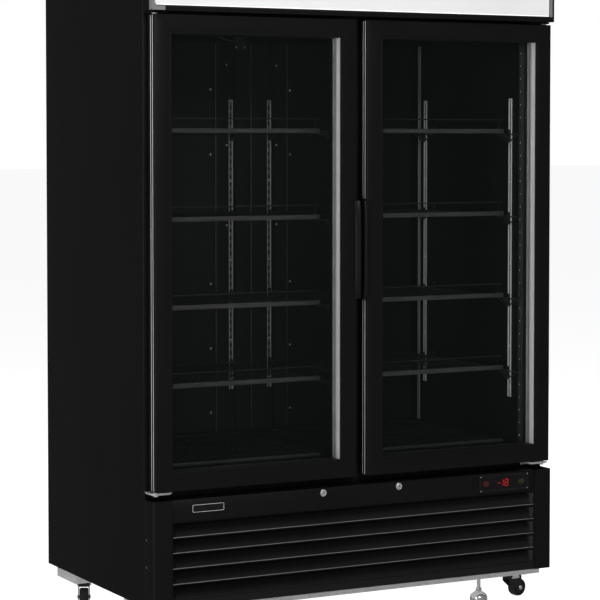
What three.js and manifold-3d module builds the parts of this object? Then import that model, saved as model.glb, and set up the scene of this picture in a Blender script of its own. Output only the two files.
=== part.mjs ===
// Two-door upright display freezer with a header canopy, standing on four swivel castors.
// Millimetres, +Z up. X runs across the doors, the doors face -Y, and the origin is on the
// floor under the middle of the bounding box.
import * as THREE from 'three';
import { mergeVertices } from 'three/addons/utils/BufferGeometryUtils.js';
import Module from 'manifold-3d';

const wasm = await Module();
wasm.setup();

// ---- Driving dimensions ---------------------------------------------------------------
const WIDTH = 1370;
const HEIGHT = 2030;
const BODY_DEPTH = 748;
const FRONT_PROUD = 72;                       // the door grips stand this far before the body
const SIDE = WIDTH / 2;
const BACK = (BODY_DEPTH + FRONT_PROUD) / 2;
const FRONT = BACK - BODY_DEPTH;              // front plane of the insulated body
const GAP = 0.3;                              // clearance between pieces that touch
const SHEET = 2;                              // folded steel sheet

const BEAM_TOP = 110;                         // underside of the cabinet
const BEAM_BOTTOM = 82;
const BEAM_DEPTH = 150;
const BEAM_INSET = 73;                        // the rear beam stops this far before the back
const MACHINE_TOP = 425;                      // roof of the machine compartment
const WALL = 63;                              // insulated side wall
const BACK_WALL = 58;
const FLOOR_Z = 485;
const LINTEL_Z = 1775;
const CEILING_Z = 1962;
const MULLION_HALF = 50;
const MULLION_DEPTH = 58;
const LINER = 2;

const DOOR_BOTTOM = 448;
const DOOR_TOP = 1809;
const DOOR_SIDE_INSET = 10;
const DOOR_HALF_GAP = 18;
const DOOR_BACK = FRONT - 12;
const DOOR_FACE = FRONT - 60;
const STILE = 55;
const GLASS_LIP = 8;                          // frame lip that covers the edge of the glass
const GLASS = 4;
const PIVOT_X = SIDE - 22;
const PIVOT_Y = FRONT - 36;
const PIVOT_RADIUS = 5;
const GRIP_BOTTOM = 981;
const GRIP_TOP = 1272;

const PLINTH_TOP = 422;
const PLINTH_FACE = FRONT - 58;
const POST_WIDTH = 62;
const POST_FACE = FRONT - 62;
const BAND_BOTTOM = 360;
const SILL_TOP = 135;
const LOUVRES = 5;
const LOCK_X = 130;
const LOCK_Z = 407;
const LOCK_RADIUS = 8;
const CAM_LENGTH = 48;
const CAM_NEAR = 16;                          // the cam lies this far behind the band's face
const CAM_THICK = 3;

const CANOPY_BOTTOM = 1818;
const CANOPY_FACE = FRONT - 65;
const PANEL_BOTTOM = 1834;

const SHELF_TOPS = [738, 968, 1227, 1487];    // top of each front rail, lowest shelf first
const SHELF_FRONT = FRONT + 90;
const SHELF_BACK = 318;
const SHELF_INNER_X = 60;
const SHELF_OUTER_X = 603;
const RAIL_HEIGHT = 14;
const DUCT_Y = 338;

const CASTOR_X = 625;
const CASTOR_FRONT_Y = FRONT + 70;
const CASTOR_REAR_Y = FRONT + 598;
const WHEEL_RADIUS = 28;
const WHEEL_WIDTH = 28;
const TRAIL = 21;
const FRONT_CASTOR_TURN = 9;                  // degrees that each castor has swivelled
const REAR_CASTOR_TURN = -112;
const FOOT_X = 474;
const FOOT_Y = FRONT + 30;

// ---- Materials ------------------------------------------------------------------------
function finish(color, roughness, metalness) {
  return new THREE.MeshStandardMaterial({ color, roughness, metalness });
}
const blackPaint = finish(0x161616, 0.42, 0.1);
const blackPlastic = finish(0x121212, 0.5, 0);
const linerBlack = finish(0x0e0e0e, 0.6, 0);
const foam = finish(0xd8c48a, 0.9, 0);
const galvanised = finish(0xaeb2b4, 0.45, 0.9);
const castMetal = finish(0x2a2a2a, 0.55, 0.4);
const finMetal = finish(0xc4c8ca, 0.4, 0.9);
const zinc = finish(0xc9c9c6, 0.3, 1);
const acrylic = finish(0xededed, 0.25, 0);
const glassSheet = finish(0xaab8b8, 0.05, 0);
const sealRubber = finish(0x0b0b0b, 0.75, 0);
const doorBlack = finish(0x141414, 0.32, 0.1);
const wireBlack = finish(0x1b1b1b, 0.45, 0.2);
const chrome = finish(0xdadada, 0.12, 1);
const wheelBlack = finish(0x101010, 0.6, 0);

// ---- Shape helpers --------------------------------------------------------------------
function box([x0, y0, z0], [x1, y1, z1]) {
  const geometry = new THREE.BoxGeometry(x1 - x0, y1 - y0, z1 - z0);
  return geometry.translate((x0 + x1) / 2, (y0 + y1) / 2, (z0 + z1) / 2);
}

function outline(points) {
  return new THREE.Shape(points.map(([u, v]) => new THREE.Vector2(u, v)));
}

// An outline in plan, standing from z0 to z1.
function upright(points, z0, z1) {
  const geometry = new THREE.ExtrudeGeometry(outline(points), { depth: z1 - z0, bevelEnabled: false });
  return geometry.translate(0, 0, z0);
}

// An outline in Y and Z, running across from x0 to x1.
function crosswise(points, x0, x1) {
  const geometry = new THREE.ExtrudeGeometry(outline(points), { depth: x1 - x0, bevelEnabled: false });
  const turn = new THREE.Matrix4().set(0, 0, 1, x0, 1, 0, 0, 0, 0, 1, 0, 0, 0, 0, 0, 1);
  return geometry.applyMatrix4(turn);
}

// A profile of [radius, z] pairs from axis to axis, turned about Z.
function turned(profile, segments, [x, y, z] = [0, 0, 0]) {
  const points = profile.map(([radius, height]) => new THREE.Vector2(radius, height));
  return new THREE.LatheGeometry(points, segments).rotateX(Math.PI / 2).translate(x, y, z);
}

function rod(radius, z0, z1, x = 0, y = 0, segments = 20) {
  return turned([[0, z0], [radius, z0], [radius, z1], [0, z1]], segments, [x, y, 0]);
}

// A rod lying along Y, from y0 to y1.
function rodAlongY(radius, y0, y1, x, z, segments = 20) {
  return rod(radius, 0, y1 - y0, 0, 0, segments).rotateX(-Math.PI / 2).translate(x, y0, z);
}

function toSolid(geometry) {
  const bare = geometry.clone();
  bare.deleteAttribute('normal');
  bare.deleteAttribute('uv');
  const merged = mergeVertices(bare, 1e-4);
  return new wasm.Manifold(new wasm.Mesh({
    numProp: 3,
    vertProperties: new Float32Array(merged.attributes.position.array),
    triVerts: new Uint32Array(merged.index.array),
  }));
}

function toGeometry(solid) {
  const mesh = solid.getMesh();
  const geometry = new THREE.BufferGeometry();
  geometry.setAttribute('position', new THREE.BufferAttribute(new Float32Array(mesh.vertProperties), 3));
  geometry.setIndex(new THREE.BufferAttribute(new Uint32Array(mesh.triVerts), 1));
  geometry.computeVertexNormals();
  return geometry;
}

function join(...pieces) {
  return toGeometry(pieces.map(toSolid).reduce((whole, piece) => whole.add(piece)));
}

function cut(blank, ...tools) {
  return toGeometry(tools.map(toSolid).reduce((rest, tool) => rest.subtract(tool), toSolid(blank)));
}

const freezer = new THREE.Group();

function add(name, geometry, material, parent = freezer) {
  const mesh = new THREE.Mesh(geometry, material);
  mesh.name = name;
  parent.add(mesh);
  return mesh;
}

// ---- Outer casing ---------------------------------------------------------------------
// Each side panel is a sheet folded round the foam: a front lip and a rear lip.
function sidePanel(side) {
  const lip = 24;
  const plan = [
    [0, FRONT], [lip, FRONT], [lip, FRONT + SHEET], [SHEET, FRONT + SHEET],
    [SHEET, BACK - SHEET], [lip, BACK - SHEET], [lip, BACK], [0, BACK],
  ].map(([inset, y]) => [side * (SIDE - inset), y]);
  return upright(side < 0 ? plan : plan.reverse(), BEAM_TOP, HEIGHT);
}
for (const [name, side] of [['left', -1], ['right', 1]]) {
  add(`${name}_side_panel`, sidePanel(side), blackPaint);
}

// Back and roof are one folded sheet between the side panels.
const insideX = SIDE - SHEET - GAP;
add('rear_and_roof_panel', crosswise([
  [FRONT + SHEET + GAP, HEIGHT - SHEET], [BACK - 2 * SHEET - GAP, HEIGHT - SHEET],
  [BACK - 2 * SHEET - GAP, MACHINE_TOP + GAP], [BACK - SHEET - GAP, MACHINE_TOP + GAP],
  [BACK - SHEET - GAP, HEIGHT], [FRONT + SHEET + GAP, HEIGHT],
], -insideX, insideX), blackPaint);

const foamX = SIDE - SHEET - GAP;
const cavityX = SIDE - WALL;
const cavityBack = BACK - BACK_WALL;
add('insulation_body', cut(
  box([-foamX, FRONT + SHEET + GAP, MACHINE_TOP + GAP], [foamX, BACK - 2 * SHEET - 2 * GAP, HEIGHT - SHEET - GAP]),
  box([-cavityX, FRONT + WALL, FLOOR_Z], [cavityX, cavityBack, CEILING_Z]),
  box([-cavityX, FRONT - 1, FLOOR_Z], [cavityX, FRONT + WALL + 1, LINTEL_Z]),
), foam);

// The liner is a thin moulded skin over the whole storage space and round its mouth.
const linerX = cavityX - GAP;
add('inner_liner', cut(
  box([-linerX, FRONT + SHEET + GAP, FLOOR_Z + GAP], [linerX, cavityBack - GAP, CEILING_Z - GAP]),
  box([-linerX + LINER, FRONT - 1, FLOOR_Z + GAP + LINER], [linerX - LINER, FRONT + WALL + 6, LINTEL_Z - GAP - LINER]),
  box(
    [-linerX + LINER, FRONT + WALL + GAP + LINER, FLOOR_Z + GAP + LINER],
    [linerX - LINER, cavityBack - GAP - LINER, CEILING_Z - GAP - LINER],
  ),
  box([-linerX - 1, FRONT - 1, LINTEL_Z - GAP], [linerX + 1, FRONT + WALL + GAP, HEIGHT]),
), linerBlack);

const mouthBottom = FLOOR_Z + GAP + LINER + GAP;
const mouthTop = LINTEL_Z - 2 * GAP - LINER;
add('center_mullion', box(
  [-MULLION_HALF, FRONT, mouthBottom],
  [MULLION_HALF, FRONT + MULLION_DEPTH, mouthTop],
), linerBlack);

// ---- Cold side: air duct, evaporator and its fans -------------------------------------
// The duct panel covers the back wall. A raised middle strip and two rows of slots feed air out.
const DUCT_HALF = 608;
const SLOT_ROWS = [1109, 1430];
const SLOT_PITCH = 84;
const SLOTS_EACH_SIDE = 5;
function ductSlots() {
  const slots = [];
  for (const z of SLOT_ROWS) {
    for (let index = 0; index < SLOTS_EACH_SIDE; index += 1) {
      const x = 190 + index * SLOT_PITCH;
      slots.push(box([x - 11, DUCT_Y - 1, z - 2.5], [x + 11, DUCT_Y + SHEET + 1, z + 2.5]));
      slots.push(box([-x - 11, DUCT_Y - 1, z - 2.5], [-x + 11, DUCT_Y + SHEET + 1, z + 2.5]));
    }
  }
  return slots;
}
add('rear_duct_panel', cut(join(
  box([-DUCT_HALF, DUCT_Y, FLOOR_Z + 20], [DUCT_HALF, DUCT_Y + SHEET, LINTEL_Z - 8]),
  box([-131, DUCT_Y - 8, FLOOR_Z + 20], [131, DUCT_Y + 1, LINTEL_Z - 8]),
  box([-DUCT_HALF, DUCT_Y, FLOOR_Z + 20], [-DUCT_HALF + SHEET, cavityBack - 3, LINTEL_Z - 8]),
  box([DUCT_HALF - SHEET, DUCT_Y, FLOOR_Z + 20], [DUCT_HALF, cavityBack - 3, LINTEL_Z - 8]),
), ...ductSlots()), linerBlack);

// The evaporator hangs under the ceiling in a tray. Each fan blows up through a hole in it.
const TRAY_X = 596;
const TRAY_FRONT = FRONT + WALL + 20;
const TRAY_BACK = 326;
const TRAY_BOTTOM = LINTEL_Z + 10;
const TRAY_TOP = CEILING_Z - 4;
const FAN_X = 280;
const FAN_Y = TRAY_FRONT + 145;
const FAN_RADIUS = 100;
const fanHoles = [-FAN_X, FAN_X].map(
  (x) => rod(FAN_RADIUS + 8, TRAY_BOTTOM - 1, TRAY_BOTTOM + SHEET + 1, x, FAN_Y, 28),
);
const fanMounts = [-FAN_X, FAN_X].flatMap((x) => [
  rod(26, TRAY_BOTTOM + 42, TRAY_BOTTOM + 92, x, FAN_Y, 20),
  box([x - 130, FAN_Y - 5, TRAY_BOTTOM + 60], [x + 130, FAN_Y + 5, TRAY_BOTTOM + 64]),
  box([x - 130, FAN_Y - 5, TRAY_BOTTOM + 1], [x - 126, FAN_Y + 5, TRAY_BOTTOM + 64]),
  box([x + 126, FAN_Y - 5, TRAY_BOTTOM + 1], [x + 130, FAN_Y + 5, TRAY_BOTTOM + 64]),
]);
const tray = cut(
  box([-TRAY_X, TRAY_FRONT, TRAY_BOTTOM], [TRAY_X, TRAY_BACK, TRAY_TOP]),
  box([-TRAY_X + SHEET, TRAY_FRONT + SHEET, TRAY_BOTTOM + SHEET], [TRAY_X - SHEET, TRAY_BACK + 1, TRAY_TOP + 1]),
  ...fanHoles,
);
add('evaporator_cover', join(tray, ...fanMounts), linerBlack);

const COIL_FRONT = 60;
const coilBends = [0, 1, 2].flatMap((row) => [-1, 1].map((side) => rodAlongY(
  14, COIL_FRONT + 30, TRAY_BACK - 40, side * 545, TRAY_BOTTOM + 42 + row * 38, 12,
)));
add('evaporator_coil', join(
  box([-545, COIL_FRONT, TRAY_BOTTOM + 12], [545, TRAY_BACK - 16, TRAY_BOTTOM + 150]),
  ...coilBends,
), finMetal);

// A fan: a hub with a blind shaft hole and pitched blades, turning about Z.
function fan(radius, hubRadius, height, blades) {
  const hub = rod(hubRadius, -height / 2, height / 2, 0, 0, 20);
  const blade = [];
  for (let index = 0; index < blades; index += 1) {
    blade.push(
      new THREE.BoxGeometry(radius - hubRadius + 4, radius * 0.62, 2.5)
        .rotateX(0.42)
        .translate((radius + hubRadius) / 2 - 4, 0, 0)
        .rotateZ((index * 2 * Math.PI) / blades),
    );
  }
  const round = toSolid(rod(radius, -height, height, 0, 0, 30));
  return toGeometry(toSolid(join(hub, ...blade)).intersect(round));
}
for (const [name, side] of [['left', -1], ['right', 1]]) {
  const rotor = add(`evaporator_fan_${name}`, fan(FAN_RADIUS, 24, 34, 5), blackPlastic);
  rotor.position.set(side * FAN_X, FAN_Y, TRAY_BOTTOM + 24.5);
}

// ---- Base frame and machine compartment -----------------------------------------------
// Two ribbed steel beams joined by the pan that carries the machine, with the castor plates.
const REAR_BEAM_Y = BACK - BEAM_INSET - BEAM_DEPTH;
const PAN_HALF = 560;
const PLATE_HALF = 32;
const RACE_RADIUS = 24;
const castorPlaces = {
  front_left: [-CASTOR_X, CASTOR_FRONT_Y, FRONT_CASTOR_TURN],
  front_right: [CASTOR_X, CASTOR_FRONT_Y, FRONT_CASTOR_TURN],
  rear_left: [-CASTOR_X, CASTOR_REAR_Y, REAR_CASTOR_TURN],
  rear_right: [CASTOR_X, CASTOR_REAR_Y, REAR_CASTOR_TURN],
};
const PLATE_BOTTOM = 78;
const RACE_BOTTOM = 72;
function ribbedBeam(y0) {
  const ribs = 4;
  const pitch = (BEAM_TOP - BEAM_BOTTOM) / ribs;
  const front = [];
  const back = [];
  for (let rib = 0; rib < ribs; rib += 1) {
    const z = BEAM_BOTTOM + rib * pitch;
    front.push([y0, z], [y0, z + pitch * 0.7], [y0 + 1.2, z + pitch * 0.8], [y0 + 1.2, z + pitch * 0.9]);
  }
  back.push([y0, BEAM_TOP - GAP], [y0 + BEAM_DEPTH, BEAM_TOP - GAP], [y0 + BEAM_DEPTH, BEAM_BOTTOM]);
  return crosswise([...front, ...back].reverse(), -SIDE + 2, SIDE - 3);
}
const footHoles = [-FOOT_X, FOOT_X].map((x) => rod(6.6, BEAM_BOTTOM - 1, BEAM_TOP + 40, x, FOOT_Y, 20));
add('base_frame', cut(
  join(
    ribbedBeam(FRONT),
    ribbedBeam(REAR_BEAM_Y),
    box([-PAN_HALF, FRONT + BEAM_DEPTH - 1, BEAM_TOP - 6], [PAN_HALF, REAR_BEAM_Y + 1, BEAM_TOP - GAP]),
    ...Object.values(castorPlaces).flatMap(([x, y]) => [
      box([x - PLATE_HALF, y - PLATE_HALF, PLATE_BOTTOM], [x + PLATE_HALF, y + PLATE_HALF, BEAM_BOTTOM + 1]),
      rod(RACE_RADIUS, RACE_BOTTOM, PLATE_BOTTOM + 1, x, y, 24),
    ]),
  ),
  ...footHoles,
), galvanised);

// The hermetic compressor: a domed pot with a waist band on a wide foot plate.
const POT_RADIUS = 82;
const POT_X = 330;
const POT_Y = 120;
const POT_PLATE_X = 105;
const POT_PLATE_Y = 75;
const POT_FOOT_X = 88;
const POT_FOOT_Y = 58;
const POT_FOOT_RADIUS = 14;
add('compressor', join(
  turned([
    [0, 24], [62, 24], [78, 40], [POT_RADIUS, 64], [POT_RADIUS, 108], [POT_RADIUS + 5, 110],
    [POT_RADIUS + 5, 116], [POT_RADIUS, 118], [80, 148], [70, 174], [48, 192], [0, 200],
  ], 20, [POT_X, POT_Y, BEAM_TOP + GAP]),
  box(
    [POT_X - POT_PLATE_X, POT_Y - POT_PLATE_Y, BEAM_TOP + 12],
    [POT_X + POT_PLATE_X, POT_Y + POT_PLATE_Y, BEAM_TOP + 27],
  ),
  ...[[-1, -1], [-1, 1], [1, -1], [1, 1]].map(([sx, sy]) => rod(
    POT_FOOT_RADIUS, BEAM_TOP + GAP, BEAM_TOP + 14, POT_X + sx * POT_FOOT_X, POT_Y + sy * POT_FOOT_Y, 14,
  )),
), castMetal);

// The condenser: a finned block in front of a shroud whose ring surrounds the fan.
const CONDENSER_X = -250;
const CONDENSER_HALF = 190;
const CONDENSER_FRONT = FRONT + 40;
const CONDENSER_TOP = 392;
const SHROUD_BACK = CONDENSER_FRONT + 132;
const FAN_Z = (BEAM_TOP + CONDENSER_TOP) / 2;
const CONDENSER_FAN_RADIUS = 115;
const CONDENSER_FAN_Y = SHROUD_BACK - 18;
const FAN_MOTOR_RADIUS = 34;
const FAN_MOTOR_BACK = SHROUD_BACK + 66;
const FAN_ARM_X = 140;
const FAN_ARM_HALF = 6;
const FAN_ARM_Y = SHROUD_BACK + 34;
const shroud = cut(
  box(
    [CONDENSER_X - CONDENSER_HALF, CONDENSER_FRONT, BEAM_TOP + GAP],
    [CONDENSER_X + CONDENSER_HALF, SHROUD_BACK, CONDENSER_TOP],
  ),
  box(
    [CONDENSER_X - CONDENSER_HALF + SHEET, CONDENSER_FRONT + 72, BEAM_TOP + GAP + SHEET],
    [CONDENSER_X + CONDENSER_HALF - SHEET, SHROUD_BACK - SHEET, CONDENSER_TOP - SHEET],
  ),
  rodAlongY(CONDENSER_FAN_RADIUS + 8, SHROUD_BACK - SHEET - 1, SHROUD_BACK + 1, CONDENSER_X, FAN_Z, 32),
);
add('condenser', join(
  shroud,
  rodAlongY(FAN_MOTOR_RADIUS, SHROUD_BACK + 8, FAN_MOTOR_BACK, CONDENSER_X, FAN_Z, 20),
  ...[-1, 1].map((side) => box(
    [CONDENSER_X + side * FAN_ARM_X - FAN_ARM_HALF, SHROUD_BACK - 1, FAN_Z - FAN_ARM_HALF],
    [CONDENSER_X + side * FAN_ARM_X + FAN_ARM_HALF, FAN_ARM_Y, FAN_Z + FAN_ARM_HALF],
  )),
  box(
    [CONDENSER_X - FAN_ARM_X - FAN_ARM_HALF, FAN_ARM_Y - 4, FAN_Z - FAN_ARM_HALF],
    [CONDENSER_X + FAN_ARM_X + FAN_ARM_HALF, FAN_ARM_Y, FAN_Z + FAN_ARM_HALF],
  ),
), finMetal);
const condenserFan = add('condenser_fan', fan(CONDENSER_FAN_RADIUS, 26, 36, 6), blackPlastic);
condenserFan.position.set(CONDENSER_X, CONDENSER_FAN_Y, FAN_Z);
condenserFan.rotation.x = Math.PI / 2;

// ---- Lower front: corner posts, louvred grille, controller and locks ------------------
function cornerPost(side) {
  const radius = 12;
  const steps = 5;
  const bend = (r, cx, cy) => Array.from({ length: steps + 1 }, (_, step) => {
    const angle = (step / steps) * (Math.PI / 2);
    return [cx - r * Math.cos(angle), cy - r * Math.sin(angle)];
  });
  const plan = [
    [0, FRONT - GAP],
    ...bend(radius, radius, POST_FACE + radius),
    [POST_WIDTH - GAP, POST_FACE], [POST_WIDTH - GAP, POST_FACE + 3 * SHEET],
    [POST_WIDTH - GAP - SHEET, POST_FACE + 3 * SHEET], [POST_WIDTH - GAP - SHEET, POST_FACE + SHEET],
    ...bend(radius - SHEET, radius, POST_FACE + radius).reverse(),
    [SHEET, FRONT - GAP],
  ].map(([inset, y]) => [side * (SIDE - inset), y]);
  return upright(side > 0 ? plan.reverse() : plan, BEAM_TOP, PLINTH_TOP);
}
for (const [name, side] of [['left', -1], ['right', 1]]) {
  add(`${name}_corner_post`, cornerPost(side), blackPaint);
}

// The grille: a flat upper band, end cheeks, a sill and slanted blades with turned-up lips.
const GRILLE_X = SIDE - POST_WIDTH - GAP;
const BLADE_PITCH = (BAND_BOTTOM - SILL_TOP) / LOUVRES;
const GRILLE_BACK = PLINTH_FACE + 26;
const blades = [];
for (let index = 0; index < LOUVRES; index += 1) {
  const lip = SILL_TOP + index * BLADE_PITCH;
  blades.push(crosswise([
    [PLINTH_FACE, lip - 2], [PLINTH_FACE + 3, lip - 2], [GRILLE_BACK, lip + BLADE_PITCH - 14],
    [GRILLE_BACK, lip + BLADE_PITCH - 11], [PLINTH_FACE + 2, lip + 1], [PLINTH_FACE, lip + 1],
  ], -GRILLE_X + 2, GRILLE_X - 2));
}
// The space that a lock's cam sweeps through as it turns up into the door's lower rail.
function camSlot(x, z0, z1) {
  return box(
    [x - 9, PLINTH_FACE + CAM_NEAR - 3, z0],
    [x + CAM_LENGTH, PLINTH_FACE + CAM_NEAR + CAM_THICK + 3, z1],
  );
}
const CONTROLLER_X0 = 418;
const CONTROLLER_X1 = 599;
const CONTROLLER_Z0 = 364;
const CONTROLLER_Z1 = 418;
const grilleBody = join(
  box([-GRILLE_X, PLINTH_FACE, BAND_BOTTOM - 2], [GRILLE_X, PLINTH_FACE + SHEET, PLINTH_TOP]),
  box([-GRILLE_X, PLINTH_FACE, PLINTH_TOP - SHEET], [GRILLE_X, FRONT - 4, PLINTH_TOP]),
  box([-GRILLE_X, PLINTH_FACE, BEAM_TOP], [GRILLE_X, PLINTH_FACE + SHEET, SILL_TOP]),
  box([-GRILLE_X, PLINTH_FACE, BEAM_TOP], [-GRILLE_X + 8, GRILLE_BACK, PLINTH_TOP]),
  box([GRILLE_X - 8, PLINTH_FACE, BEAM_TOP], [GRILLE_X, GRILLE_BACK, PLINTH_TOP]),
  ...blades,
);
add('front_grille', cut(
  grilleBody,
  ...[-LOCK_X, LOCK_X].map((x) => rodAlongY(LOCK_RADIUS + GAP, PLINTH_FACE - 1, PLINTH_FACE + 8, x, LOCK_Z)),
  box(
    [CONTROLLER_X0 + 8, PLINTH_FACE - 1, CONTROLLER_Z0 + 8],
    [CONTROLLER_X1 - 8, PLINTH_FACE + 8, CONTROLLER_Z1 - 8],
  ),
  ...[-LOCK_X, LOCK_X].map((x) => camSlot(x, PLINTH_TOP - 4, PLINTH_TOP + 1)),
), blackPaint);
add('controller', join(
  box(
    [CONTROLLER_X0, PLINTH_FACE - 3, CONTROLLER_Z0],
    [CONTROLLER_X1, PLINTH_FACE - GAP, CONTROLLER_Z1],
  ),
  box(
    [CONTROLLER_X0 + 8 + GAP, PLINTH_FACE - 1, CONTROLLER_Z0 + 8 + GAP],
    [CONTROLLER_X1 - 8 - GAP, PLINTH_FACE + 38, CONTROLLER_Z1 - 8 - GAP],
  ),
), blackPlastic);

// Each lock barrel has a round face and a cam that turns behind the grille band.
for (const [name, side] of [['left', -1], ['right', 1]]) {
  const barrel = join(
    rodAlongY(10.5, -4, -GAP, 0, 0, 24),
    rodAlongY(LOCK_RADIUS, -1, 20, 0, 0, 20),
    box([-6, CAM_NEAR, -6], [CAM_LENGTH, CAM_NEAR + CAM_THICK, 6]),
  );
  const lock = add(`${name}_lock`, barrel, chrome);
  lock.position.set(side * LOCK_X, PLINTH_FACE, LOCK_Z);
}

// The rear grille closes the machine compartment with rows of slots. Its gland is for the mains cable.
const GLAND_RADIUS = 10;
const GLAND_X = -630;
const GLAND_Z = 150;
const VENT_COLUMNS = [-450, -150, 150, 450];
const VENT_ROWS = [180, 240, 300, 360];
const VENT_HALF_LENGTH = 120;
const VENT_HALF_HEIGHT = 8;
const rearVents = [];
for (const x of VENT_COLUMNS) {
  for (const z of VENT_ROWS) {
    rearVents.push(box(
      [x - VENT_HALF_LENGTH, BACK - 12, z - VENT_HALF_HEIGHT],
      [x + VENT_HALF_LENGTH, BACK, z + VENT_HALF_HEIGHT],
    ));
  }
}
const rearGrilleY = BACK - SHEET - GAP;
add('rear_grille', cut(
  join(
    box([-insideX, rearGrilleY - SHEET, BEAM_TOP + GAP], [insideX, rearGrilleY, MACHINE_TOP - 1]),
    rodAlongY(GLAND_RADIUS, rearGrilleY - 14, BACK, GLAND_X, GLAND_Z, 16),
  ),
  ...rearVents,
  rodAlongY(GLAND_RADIUS - 5, rearGrilleY - 15, BACK + 1, GLAND_X, GLAND_Z, 16),
), galvanised);

// ---- Header canopy --------------------------------------------------------------------
const CANOPY_BACK = FRONT - 4;
const PANEL_LEFT = -SIDE + 10;
const PANEL_RIGHT = SIDE - 19;
const PANEL_TOP = HEIGHT - 12;
const canopyShell = cut(
  box([-SIDE, CANOPY_FACE, CANOPY_BOTTOM], [SIDE, CANOPY_BACK, HEIGHT]),
  box([-SIDE + 4, CANOPY_FACE + 8, CANOPY_BOTTOM + 3], [SIDE - 4, CANOPY_BACK + 1, HEIGHT - 3]),
  box([PANEL_LEFT, CANOPY_FACE - 1, PANEL_BOTTOM], [PANEL_RIGHT, CANOPY_FACE + 9, PANEL_TOP]),
);
add('canopy_housing', canopyShell, blackPaint);
add('canopy_panel', box(
  [PANEL_LEFT + GAP, CANOPY_FACE + 1, PANEL_BOTTOM + GAP],
  [PANEL_RIGHT - GAP, CANOPY_FACE + 5, PANEL_TOP - GAP],
), acrylic);

// ---- Slotted shelf standards on the side walls ----------------------------------------
const STANDARD_BOTTOM = 638;
const STANDARD_TOP = 1583;
const STANDARD_HALF = 8;
const STANDARD_THICK = 4;
const STANDARD_PLACES = [['front', FRONT + 78], ['rear', FRONT + 593]];
for (const [name, side] of [['left', -1], ['right', 1]]) {
  for (const [place, y] of STANDARD_PLACES) {
    const wall = side * (linerX - LINER - GAP);
    const x0 = Math.min(wall, wall - side * STANDARD_THICK);
    const x1 = Math.max(wall, wall - side * STANDARD_THICK);
    add(
      `${name}_${place}_standard`,
      box([x0, y - STANDARD_HALF, STANDARD_BOTTOM], [x1, y + STANDARD_HALF, STANDARD_TOP]),
      zinc,
    );
  }
}

// ---- Shelves --------------------------------------------------------------------------
// A shelf is a grid of long slots between cross bars, with an upturned front rail.
function shelf() {
  const width = SHELF_OUTER_X - SHELF_INNER_X;
  const depth = SHELF_BACK - SHELF_FRONT;
  const bars = 2;
  const rows = 7;
  const slots = [];
  for (let bar = 0; bar < bars; bar += 1) {
    for (let row = 0; row < rows; row += 1) {
      const x0 = 14 + (bar * (width - 18)) / bars;
      const x1 = x0 + (width - 18) / bars - 10;
      const y0 = 14 + (row * (depth - 20)) / rows;
      slots.push(box([x0, y0, -1], [x1, y0 + (depth - 20) / rows - 8, 7]));
    }
  }
  return cut(join(
    box([0, 0, 0], [width, depth, 5]),
    box([0, 0, 0], [width, 5, RAIL_HEIGHT]),
  ), ...slots);
}
for (const [name, x0] of [['left', -SHELF_OUTER_X], ['right', SHELF_INNER_X]]) {
  SHELF_TOPS.forEach((top, index) => {
    const piece = add(`${name}_shelf_${index + 1}`, shelf(), wireBlack);
    piece.position.set(x0, SHELF_FRONT, top - RAIL_HEIGHT);
  });
}

// ---- Doors ----------------------------------------------------------------------------
// Worked out for the left door, whose hinge is at the cabinet's left side, then mirrored.
const doorLeft = -SIDE + DOOR_SIDE_INSET;
const doorRight = -DOOR_HALF_GAP;
function ring([x0, y0, z0], [x1, y1, z1], bar, deeper = 1) {
  return cut(
    box([x0, y0, z0], [x1, y1, z1]),
    box([x0 + bar, y0 - deeper, z0 + bar], [x1 - bar, y1 + deeper, z1 - bar]),
  );
}
function mirrored(geometry, side) {
  return side < 0 ? geometry : toGeometry(toSolid(geometry).mirror([1, 0, 0]));
}
const glassPocket = STILE - GLASS_LIP;
function doorFrame() {
  const pocket = box(
    [doorLeft + glassPocket, DOOR_FACE + 3, DOOR_BOTTOM + glassPocket],
    [doorRight - glassPocket, DOOR_BACK + 1, DOOR_TOP - glassPocket],
  );
  const pivotHoles = [
    rod(PIVOT_RADIUS + GAP, DOOR_BOTTOM - 1, DOOR_BOTTOM + 14, -PIVOT_X, PIVOT_Y),
    rod(PIVOT_RADIUS + GAP, DOOR_TOP - 14, DOOR_TOP + 1, -PIVOT_X, PIVOT_Y),
  ];
  const blank = ring([doorLeft, DOOR_FACE, DOOR_BOTTOM], [doorRight, DOOR_BACK, DOOR_TOP], STILE);
  return cut(blank, pocket, ...pivotHoles);
}
function lockableFrame(side) {
  return cut(mirrored(doorFrame(), side), camSlot(side * LOCK_X, DOOR_BOTTOM - 1, DOOR_BOTTOM + 12));
}
function doorGlass() {
  const inset = glassPocket + GAP;
  return box(
    [doorLeft + inset, DOOR_FACE + 3 + GAP, DOOR_BOTTOM + inset],
    [doorRight - inset, DOOR_FACE + 3 + GAP + GLASS, DOOR_TOP - inset],
  );
}
function doorSeal() {
  return ring(
    [doorLeft + 14, DOOR_BACK + GAP, DOOR_BOTTOM + 4],
    [doorRight - 4, FRONT - GAP, DOOR_TOP - 4],
    20,
  );
}
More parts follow.
